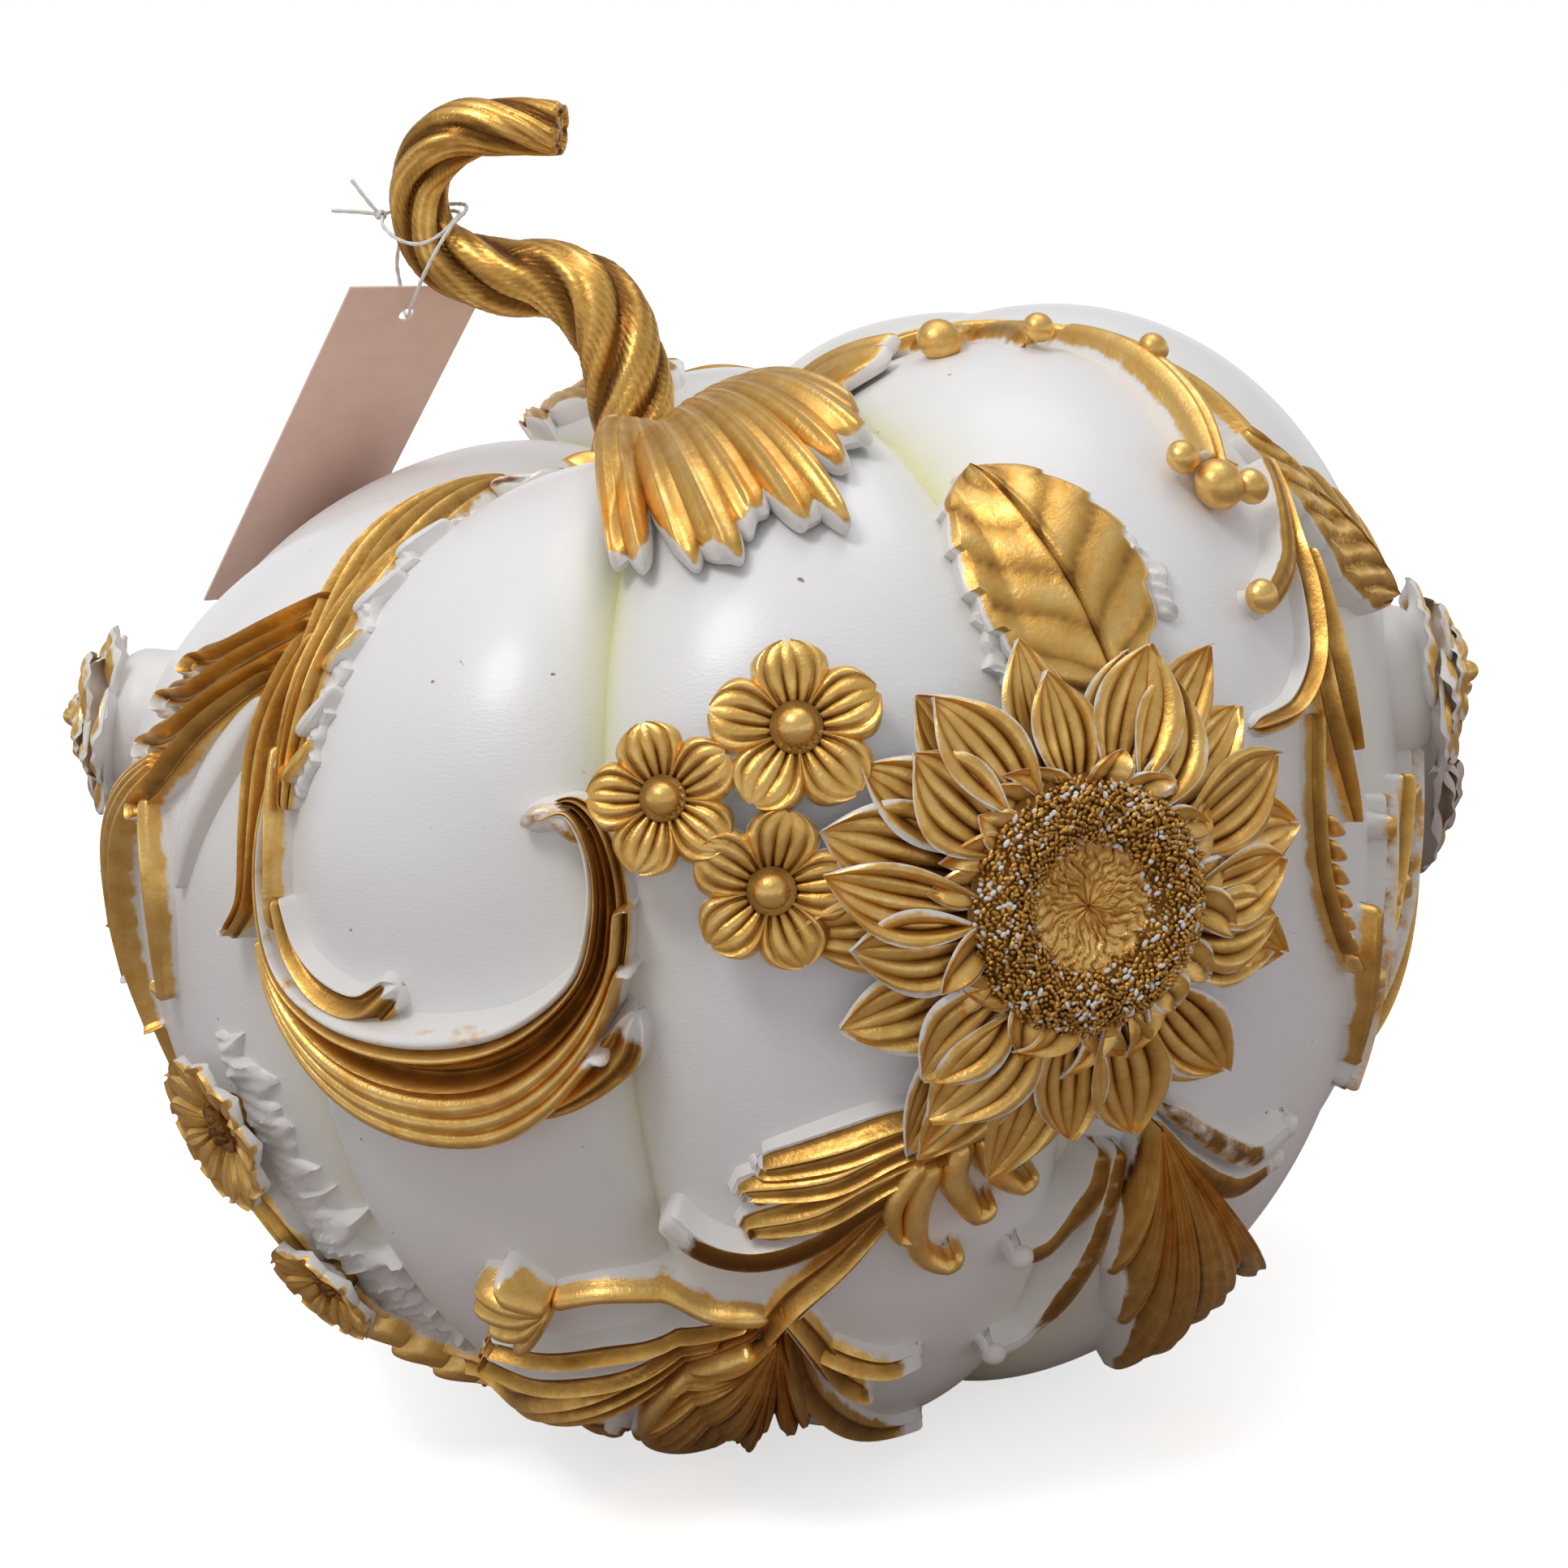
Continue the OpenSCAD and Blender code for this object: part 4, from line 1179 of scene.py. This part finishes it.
def left_plume(form):
    main = [[-57, 54, 4, 3], [-52, 46, 11, 5], [-48, 37, 16, 6], [-45, 29, 17, 6],
            [-43, 21, 14, 6], [-42, 15, 8, 5], [-41.5, 11, 3, 4]]
    blade(form, main, 5, channels=True, depth=0.5, base=0.16, tip=0.3)
    stalk_route = [[-46, 26, 8, 6.5], [-46.5, 18, 8, 6], [-46, 10, 7, 5.5], [-46.5, 4, 5, 5],
                   [-48.5, 1, 4, 5]]
    blade(form, curl(stalk_route, 1.2, 0.3, -1), 3, channels=True, base=0.16, bare=0.08)
    blade(form, [[-44, 16, 3, 5], [-43, 8, 3.4, 4.5], [-43.5, 0, 3, 4.5], [-43.5, -4, 2.5, 4]],
          1, missed=1)
    shell_tip = [[-51, 50, 6, 4], [-47, 53, 9, 5], [-43, 56, 8, 5], [-40, 57, 4, 4]]
    blade(form, shell_tip, 1, sag=1.0, lip=0.8, paint=0.5)
    flash(form, [[-47, 46, 4, 2.4], [-43, 40, 6, 3.2], [-40.6, 34, 7, 3.4], [-39.6, 28, 7, 3.4],
                 [-39.4, 22, 7, 3.2], [-39.6, 16, 5, 3], [-40.6, 12, 4, 2.4]], 4)
    teeth = [(-40.5, 36, 3.4, 0.3), (-39.6, 29.5, 2.8, 0.2), (-39.4, 24, 2.2, 0.6),
             (-39.8, 18.5, 2.6, 0.3), (-40.6, 14.5, 2.2, 0.7)]
    for a, e, long, paint in teeth:
        tooth = [[a - 1.6, e - 1.5, 3.4, 3.6], [a, e, 3.6, 4.2], [a + long * 0.7, e + long, 1.6, 3]]
        blade(form, tooth, 1, lip=0.3, paint=paint)
    fingers = [
        ([-47, 30], [-52, 26], [-57, 23], [-61, 22]),
        ([-47, 27], [-53, 23], [-58, 19.5], [-63, 18.5]),
        ([-47, 24], [-53, 20], [-59, 16], [-63.5, 14.5]),
        ([-48, 22], [-54, 17], [-59, 12], [-63, 9.5]),
    ]
    for k, finger in enumerate(fingers):
        rows = strip_rows(finger, (4, 7, 7, 5), (6, 6.5, 6, 5.5))
        blade(form, curl(rows, 1.3, 0.55, 1), 2, channels=True, base=0.16,
              bare=0.22 if k in (1, 2) else 0.05)
    white_leaf = [[-49, 20, 4, 3.5], [-52, 14, 7, 3.5], [-55, 8, 6, 3], [-57, 3, 2, 2]]
    blade(form, white_leaf, 1, sag=0.5, paint=0.3)


def left_c_scroll(form):
    outer = [[-43.6, 15, 2, 2.5], [-44.4, 8, 3, 4], [-44.5, 2, 4, 4.5], [-42.5, -3.5, 7, 5.5],
             [-37, -7.5, 12, 6.5],
             [-30, -9.5, 16, 7.5], [-23, -9.5, 17, 7.5], [-17.5, -7, 13, 7], [-13.5, -2.5, 8, 6.5],
             [-12, 3, 6.5, 6], [-12.5, 7.5, 5, 5], [-14.5, 10.5, 3.5, 4], [-17, 10, 2.5, 3]]
    outer = [[a, e + 1.2, w, h] for a, e, w, h in outer]
    blade(form, outer, 4, channels=True, depth=0.5, base=0.16)
    rim = shifted(outer, -1.0, 0.24, 1.0)
    blade(form, rim, 1, paint=0.42)
    second = shifted(outer, -0.68, 0.14, 1.4)
    blade(form, second, 1)
    for k, (share, stop) in enumerate([(0.35, 0.74), (0.7, 0.68), (1.02, 0.6)]):
        rows = cut(shifted(outer, share, 0.34, 0.6), 0.2, stop)
        blade(form, curl(rows, 1.5, 0.3, -1), 1, bare=0.06 * k, tip=0.3)
    inner = [[-42.5, 4, 3, 4], [-40.5, 0, 5, 5], [-37, -2.8, 8, 6], [-33, -3.6, 8, 6],
             [-29.5, -1.5, 6, 5.5]]
    blade(form, inner, 2, channels=True, lip=0.6, stop=0.35, missed=-1, bare=0.12)
    blade(form, [[-13.5, 9, 4, 5], [-16, 11.2, 5, 5], [-18.5, 10.6, 4, 4]], 1, sag=0.5,
          paint=0.5)
    blade(form, [[-21, -11, 5, 6], [-17, -10, 7, 7], [-13, -7.5, 8, 7], [-11, -4, 5, 6]], 2,
          channels=True, bare=0.35)


def left_side_scroll(form):
    main = [[-60, 13, 5, 4.5], [-66, 9, 9, 5.5], [-71, 3, 11, 5.5], [-74, -5, 8, 5.5],
            [-74, -14, 3, 3.5]]
    frond(form, main, 4, curls=0.35, radius=1.3, stagger=0.5, one_side=1, lip=0.3)
    blade(form, curl([[-62, 10, 4, 4], [-60, 2, 5, 5], [-62, -6, 4, 4]], 1.2, 0.5, -1), 1,
          lip=0.4)
    blade(form, [[-76, -9, 4, 3.5], [-80, -18, 3.5, 3.5], [-80, -28, 3, 3.5],
                 [-76, -36, 2, 3]], 1)


def garland_scroll(form):
    main = [[-60, -22, 5, 4], [-57, -27, 7, 4.5], [-54, -36, 8, 4.5], [-50, -44, 9, 5],
            [-42, -48, 12, 5.5], [-32, -45, 14, 6], [-22, -41, 12, 6], [-14, -37, 9, 5.5],
            [-5, -31.5, 4, 4.5]]
    blade(form, main, 4, channels=True, depth=0.5, base=0.16)
    strands = [
        ([-6, -31], [-14, -34.5], [-20, -34.8], [-26, -35.3], [-31, -34.5]),
        ([-9, -33.5], [-17, -37.5], [-24, -39], [-30, -39.5], [-34, -37.5]),
    ]
    for strand in strands:
        rows = strip_rows(strand, (3, 5, 6, 5, 3.5), [5.5] * 5)
        blade(form, curl(rows, 1.1, 0.3, -1), 2, channels=True, missed=1)
    flash(form, [[-55, -9, 6, 2], [-52.5, -13, 13, 2.8], [-51.6, -19, 12, 2.2],
                 [-51.6, -24, 13, 2.4], [-49.6, -28, 20, 3.2], [-48.6, -33, 20, 3.4],
                 [-46, -38, 15, 3], [-42, -42, 8, 2.4]], 21)
    for k in range(4):
        a = -57 + 2.2 * k
        e = -34 - 3.4 * k
        blade(form, curl([[a, e, 4, 6], [a + 2.4, e - 0.6, 4.4, 6.5], [a + 4, e - 3, 3, 5]],
                         0.9, 0.35, -1), 1, lip=0.3)


def foot_scroll(form):
    main = [[-48, -55, 4, 3.5], [-40, -55.5, 8, 4], [-34, -54.5, 9, 4], [-29, -52, 6, 3.5]]
    blade(form, curl(main, 1.2, 0.4, 1), 3, channels=True, base=0.16, bare=0.2)


def flower_bud(form):
    """A bell-shaped bud on a thin stalk, its fingers pointing away from the stalk."""
    stalk_route = [[-22.5, -28.2, 4, 5], [-18, -27.8, 3.6, 5], [-13, -29, 3.6, 5],
                   [-9, -30.6, 4, 5], [-4, -30.6, 4, 4.5]]
    blade(form, stalk_route, 1, missed=1)
    fingers = [(-26, -24.6, 4.4), (-28.6, -26, 4.6), (-29.6, -28, 4.8), (-29.2, -30.2, 4.6),
               (-27.4, -32, 4.2)]
    for k, (azimuth, elevation, width) in enumerate(fingers):
        rows = [[-22.6, -28.2, 3, 7], [-24.8, -28.2 + (elevation + 28.2) * 0.6, width, 9.5],
                [azimuth * 0.6 - 24.8 * 0.4, -28.2 + (elevation + 28.2) * 0.9, width, 8.5],
                [azimuth, elevation, width * 0.55, 6]]
        blade(form, rows, 1, stop=1.2, tip=0.3, bare=0.3 if k == 0 else 0.05)


def bottom_fan_leaf(form):
    edge = [(-9, -35), (-15, -38.5), (-19, -42), (-22, -47), (-23, -53), (-20, -57.5),
            (-14, -57), (-10, -50), (-6, -48), (-3, -46), (-1.5, -41)]
    fan(form, (-3.5, -31.5), edge, 9, 5, 6.5, depth=2.2, notch=0.18, crest=1.2)
    crest = [[-6, -33, 3, 8], [-13, -38, 4, 8], [-18.5, -43, 5, 8], [-21.5, -49, 5, 7],
             [-20.5, -55, 6, 6], [-15, -57.5, 5, 5]]
    blade(form, crest, 1, lip=0.2)


def bottom_sprig(form):
    sprigs = [
        ([[-5, -33, 5, 6], [-1.5, -28.5, 7, 6.5], [2.5, -25, 6, 6], [7, -20.5, 3.5, 5]], 0, 0),
        ([[-3, -29, 5, 6], [-0.6, -33.5, 6, 7], [1, -38, 5, 6.5], [3, -40.5, 4, 6]], 0.35, 0.1),
        ([[-1.4, -33, 4, 6.5], [2.6, -36.5, 5, 6], [6, -38, 4.5, 5.5], [8.4, -37.5, 4, 5]], 0.2,
         0.5),
        ([[-3, -32, 6, 6], [-2.4, -40, 7, 6], [1, -48, 7, 5.5], [6, -54, 6, 4.5],
          [12, -56, 4, 4]], 0.2, 0.25),
    ]
    for rows, turns, bare in sprigs:
        path = curl(rows, 1.1, turns, 1) if turns else rows
        blade(form, path, 2, channels=True, base=0.16, bare=bare, missed=1)


def sunflower_spray(form):
    """Three cupped bands that sweep left, a long lower one, and four small curls."""
    bands = [
        ([14, -14], [8, -14.2], [3, -15.4], [-2.5, -16.6], 1, 0.1),
        ([13, -15], [7, -15.8], [2, -17.6], [-4, -18.4], -1, 0.12),
        ([13, -16], [6, -18], [1, -20.3], [-4, -21.6], -1, 0.0),
    ]
    for *points, hand, bare in bands:
        rows = strip_rows(points, (5, 9, 10.5, 8), (5, 6, 6, 4))
        blade(form, curl(rows, 1.1, 0.3, -hand), 3, channels=True, depth=0.4, base=0.12,
              stop=1.4, bare=bare, missed=1)
    low = [[9, -18, 4, 6], [4, -20.6, 4.5, 6], [0, -23, 5, 6], [-4.5, -24.2, 5.5, 6],
           [-8.5, -23.4, 6.5, 6], [-11.5, -21, 7, 5.5]]
    blade(form, low, 1, sag=1.2, lip=0.6, stop=0.3, bare=0.34, missed=1)
    curls = [
        [[10, -17, 5, 6], [8.4, -21, 5.5, 6], [8.6, -25, 4.5, 5.5], [10.4, -26.6, 4, 5.5]],
        [[12.4, -15.5, 5, 6.5], [11.4, -19, 5.5, 6.5], [13, -22.4, 4.5, 5.5]],
        [[13.6, -15.5, 4, 6], [14.6, -19, 4.5, 6], [17, -21.4, 3.5, 5]],
        [[9, -16.5, 4, 6.5], [6.6, -20, 4.5, 6.5], [6.8, -23, 3, 5]],
    ]
    for rows in curls:
        blade(form, curl(rows, 1.1, 0.55, 1), 1, lip=0.4)


def right_fan_leaf(form):
    edge = [(26.5, -27), (27.5, -34), (31, -41), (36, -48), (42, -51), (48, -50), (52, -45),
            (52, -40), (45, -37.5), (38.5, -33.5), (33.5, -27)]
    fan(form, (28.5, -18), edge, 8, 4.5, 7.5, depth=2.2, notch=0.16, crest=1.4, bare=0.2)


def right_tendrils(form):
    routes = [
        ([25, -21], [24.4, -25], [21, -28.6], [17.6, -28.2], 1, 0.25, 0.8),
        ([26.5, -21], [25.4, -31], [22, -40], [17, -39.8], 1, 0.3, 0.62),
        ([29, -19], [33.6, -24], [39.6, -27.6], [44.6, -26.8], -1, 0.25, 0.8),
        ([30.5, -18], [35.6, -22], [41, -25], [45.4, -24], -1, 0.3, 0.55),
    ]
    for *points, side, bare, paint in routes:
        rows = strip_rows(points, (3.5, 5.5, 6, 4.5), [5] * 4)
        blade(form, curl(rows, 1.0, 0.3, -side), 1, sag=0.7, lip=0.5, bare=bare,
              missed=side, paint=paint)
        bead(form, rows[-1][0], rows[-1][1], 2.5, 2.6, paint=0.2)


def top_scroll(form):
    main = [[30, 67, 4, 4], [44, 68, 6, 5.5], [58, 64, 8, 6.5], [66, 56, 9, 6.5],
            [67, 49, 7, 6], [64, 43, 4, 5]]
    blade(form, main, 3, lip=0.4, depth=0.55)
    leaves = [([58, 63, 5, 5], [52, 58, 6, 5], [44, 56, 7, 5]),
              ([64, 58, 5, 5], [57, 53, 6, 5], [51, 50, 5, 5]),
              ([52, 66, 4, 5], [62, 68, 6, 5], [74, 64, 6, 5])]
    for rows in leaves:
        blade(form, rows, 2, lip=0.5)
    bead(form, 43, 56, 4.6, 3.5)
    bead(form, 52, 50, 3.2, 4.5)


def right_vine(form):
    main = [[64, 50, 5, 5], [58, 42, 6.5, 5.5], [53, 35, 6.5, 5.5], [48, 29, 5, 5]]
    frond(form, main, 2, curls=0.5, radius=1.2, stagger=0.15, lift=1.0, swell=1.4, lip=0.3)
    bead(form, 47, 28, 5, 4.2)
    bead(form, 50.5, 27, 3.6, 5.0)
    bead(form, 45, 31, 3.4, 4.4)
    bead(form, 59, 42, 3.2, 5.2)
    blade(form, curl([[62, 46, 4, 4], [66, 38, 5, 5], [65, 31, 4, 4]], 1.2, 0.5, -1), 1, lip=0.4)


def right_outer_vine(form):
    """Thin stems that run down beside the sunflower, with a hook and pointed leaves."""
    long_s = [[60, 29, 3, 4.5], [55, 23, 4.5, 5], [53, 18, 5, 5.5], [50.5, 13, 5, 5.5],
              [46.5, 10, 5, 5], [41.5, 9.5, 4, 4]]
    blade(form, long_s, 2, channels=True, missed=1, paint=0.8)
    hook = [[59, 29, 4, 5], [54, 24, 5, 5.5], [50.5, 20.5, 5.5, 5.5], [46.5, 18.6, 5.5, 5.5]]
    blade(form, curl(hook, 1.3, 0.4, -1), 1, sag=0.6, lip=0.5, bare=0.3, missed=1)
    bead(form, 45.6, 18.8, 3.4, 3.4)
    pointed = [[[56, 21, 3, 5], [54.5, 15, 7, 5.5], [54.5, 9, 7, 5], [55.5, 4.5, 2, 4]],
               [[51.5, 14, 3, 5], [51, 9, 6, 5.5], [52.5, 3, 5.5, 5], [54, -1, 2, 4]]]
    for rows in pointed:
        blade(form, rows, 2, channels=True, tip=0.7)
    stem_line = [[49, 9, 3, 4.5], [47.6, 3, 3.4, 4.5], [48, -4, 4, 4.5], [51, -10, 4.6, 5],
                 [55, -13.6, 3.6, 4.5]]
    blade(form, stem_line, 2, channels=True)
    for k in range(7):
        e = -0.5 - 2.0 * k
        a = 48.2 + 0.09 * k * k
        barb = [[a, e + 1.5, 2.4, 5], [a + 1.4, e, 2.6, 5], [a + 2.6, e - 0.5, 1.2, 3.5]]
        blade(form, barb, 1)
    small = [[58, -9, 4, 5], [57.5, -13, 5, 5.5], [58.5, -18, 5, 5], [60, -23, 3, 4]]
    blade(form, curl(small, 1.0, 0.3, 1), 1, sag=0.4, lip=0.5)


def right_swag(form):
    """A loose openwork leaf: bowed pale strands joined at both ends."""
    strands = [([86, -4], [84, -12], [77, -20], [68, -25], [60, -26], 0.62),
               ([80, -1], [77, -10], [72, -18], [66, -23], [60, -26], 0.5),
               ([74, -2], [71, -9], [68, -16], [64, -22], [60, -26], 0.8),
               ([67, -2], [65, -8], [63, -14], [62, -20], [60, -26], 0.5)]
    for *points, paint in strands:
        rows = strip_rows(points, (3.5, 5, 5.5, 5, 3), [5] * 5)
        blade(form, rows, 2, channels=True, missed=-1, paint=paint)
    for a, e, hand in ((74, -13, 1), (69, -7, -1), (67, -18, 1), (78, -6, 1)):
        rows = [[a, e, 3, 4.5], [a - 2, e + 2, 4, 5], [a - 4, e + 2, 3, 4.5]]
        blade(form, curl(rows, 1.2, 0.5, hand), 1, lip=0.4, paint=0.6)


def back_scroll_left(form):
    main = [[-176, 20, 4, 4], [-166, 29, 10, 5], [-155, 31, 13, 5.5], [-145, 25, 10, 5],
            [-138, 17, 4, 4]]
    blade(form, curl(main, 1.6, 0.7, -1), 4, channels=True, base=0.16, tip=0.3)
    offshoots = [
        ([-166, 30], [-170, 37], [-178, 41], [-186, 39], 1),
        ([-152, 28], [-148, 33], [-143, 34], [-140, 30], -1),
    ]
    lay_offshoots(form, offshoots)
    palmette = [(-165, 38), (-172, 45), (-173, 53), (-163, 58), (-152, 57), (-143, 50),
                (-145, 42), (-150, 36)]
    fan(form, (-156, 30), palmette, 7, 4, 5.5, depth=1.8, notch=0.2, crest=0.8)
    bead(form, -156, 30, 3.6, 4.5)


def back_scroll_right(form):
    main = [[184, -4, 4, 4], [176, -16, 10, 5], [164, -22, 15, 6], [150, -18, 12, 5],
            [140, -6, 8, 5], [142, 6, 3, 3.5]]
    blade(form, curl(main, 1.6, 0.6, -1), 4, channels=True, base=0.16, tip=0.3)
    offshoots = [
        ([172, -19], [177, -26], [185, -29], [192, -26], -1),
        ([148, -17], [139, -21], [130, -19], [124, -12], 1),
        ([142, 2], [136, 10], [138, 18], [146, 21], -1),
        ([178, -12], [186, -14], [194, -10], [197, -3], 1),
    ]
    lay_offshoots(form, offshoots)
    palmette = [(150, -29), (143, -37), (144, -46), (155, -51), (168, -51), (179, -46),
                (180, -37), (172, -29)]
    fan(form, (161, -20), palmette, 8, 4, 6, depth=1.8, notch=0.2, crest=0.8)
    leaf(form, [[172, 13, 3, 3], [170, 7, 15, 4.5], [166, -3, 21, 5], [162, -13, 16, 5],
                [161, -19, 8, 4.5]], teeth=6, pleats=6)
    leaf(form, [[134, 8, 3, 3], [136, 1, 12, 4.5], [140, -7, 13, 5], [145, -13, 8, 4.5]],
         teeth=5, pleats=5)
    bead(form, 161, -20, 4, 4.5)


def lay_offshoots(form, offshoots):
    """Side leaves of a scroll, each with a curled tip."""
    for *points, hand in offshoots:
        rows = strip_rows(points, (5, 8.5, 8, 5), (6, 6, 5.5, 5))
        blade(form, curl(rows, 1.5, 0.6, hand), 3, channels=True, base=0.16, tip=0.3, bare=0.12)


def right_leaf(form):
    route = [[62, 32, 4, 4], [66, 27, 18, 5.5], [71, 20, 22, 6], [76, 13, 13, 5.5]]
    leaf(form, route, teeth=6, pleats=7, pleat=1.4)


# ---------------------------------------------------------------- body

FOOT_RADIUS = 50
VENT_AT = np.array([0.0, 28.0, 0.0])
VENT_RADIUS = 4.5
VENT_DEPTH = 7


def body_shell():
    """The lobed body, its mesh gathered at the creases, on a flat foot with an air vent."""
    form = Form("lobed_body")
    t = np.linspace(-1, 1, 48, endpoint=False)
    gathered = 0.35 * t + 0.65 * np.sin(math.pi / 2 * t)
    lobes = list(zip(CREASES[1:], CREASES[2:]))
    azimuth = np.concatenate([a + (b - a) * (gathered + 1) / 2 for a, b in lobes])
    elevation = np.linspace(88.5, -68, 165)
    grid = skin(azimuth[None, :], elevation[:, None])
    grid[..., 2] = np.maximum(grid[..., 2], 0)
    level = unit(ray(azimuth, 0.0))
    vent = VENT_AT + VENT_RADIUS * level
    rings = [FOOT_RADIUS * level, vent, vent + [0, 0, VENT_DEPTH]]
    grid = np.concatenate([grid, np.array(rings)])
    fold = np.abs(in_lobe(azimuth))
    # Painted shade with a glaze tint: the recess value is high at the creases, stronger higher up,
    # in the dimple under the stem and low down in the creases towards the base, where shade falls.
    upper = 0.35 + 0.65 * np.clip((elevation + 25) / 60, 0, 1)
    crease = (0.5 * fold**5 + 0.5 * fold**14)[None, :] * upper[:, None]
    dimple = np.clip((elevation - 55) / 25, 0, 1)[:, None] * 0.45
    low_crease_shade = 0.7 * (fold**2.5)[None, :] * np.clip((-28 - elevation) / 22, 0, 1)[:, None]
    crease = np.clip(crease + dimple + low_crease_shade, 0, 1)
    crease = np.concatenate([crease, np.full((len(rings), len(azimuth)), 0.3)])
    n, m = crease.shape
    form.add(grid, tube_quads(n, m)[:, ::-1], 1.0, crease)
    for row, flip in ((0, False), (n - 1, True)):
        cap = hub_fan(form.count, row * m, m)
        form.quads.append(cap[:, ::-1] if flip else cap)
        form.points.append(grid[row].mean(0)[None, :])
        form.paint.append(np.ones(1))
        form.recess_tint_and_shade.append(np.full(1, 0.6))
        form.count += 1
    form.object(SATIN_WHITE, "body_shell", "satin_white_glaze", smooth=50)


thread()
price_card()
body_shell()
stem()
relief(stem_leaf)
relief(sunflower_leaf)
sunflower()
blossom("upper_blossom", "blossom_upper", (3, 16), 15.4, 18)
blossom("left_blossom", "blossom_left", (-7, 12), 13.6, 30)
blossom("lower_blossom", "blossom_lower", (0, 5), 14.3, 0)
rose("left_rose", "left_side_rose", (-87, 12), 19, 15, 3, ANTIQUE_GOLD, "antique_gold")
daisy("upper_daisy", "daisy_upper", (-56, -17), 15.5, 10)
daisy("lower_daisy", "daisy_lower", (-52, -32), 12, 8, 20)
for sprig in (left_plume, left_c_scroll, left_side_scroll, garland_scroll, foot_scroll,
              flower_bud, bottom_fan_leaf, bottom_sprig, sunflower_spray, right_fan_leaf,
              right_tendrils, top_scroll, right_vine, right_outer_vine, right_leaf):
    relief(sprig)
rose("right_side_rose", "right_rose", (84, 4), 20, 15, 5, ANTIQUE_GOLD, "antique_gold")
rose("stone_peony", "right_peony", (97, -9), 20, 20, 8, STONE_GOLD, "aged_stone_gold")
relief(right_swag)
rose("rear_rose", "back_blossom", (-168, 8), 20, 10, 11, ANTIQUE_GOLD, "antique_gold")
relief(back_scroll_left)
relief(back_scroll_right)
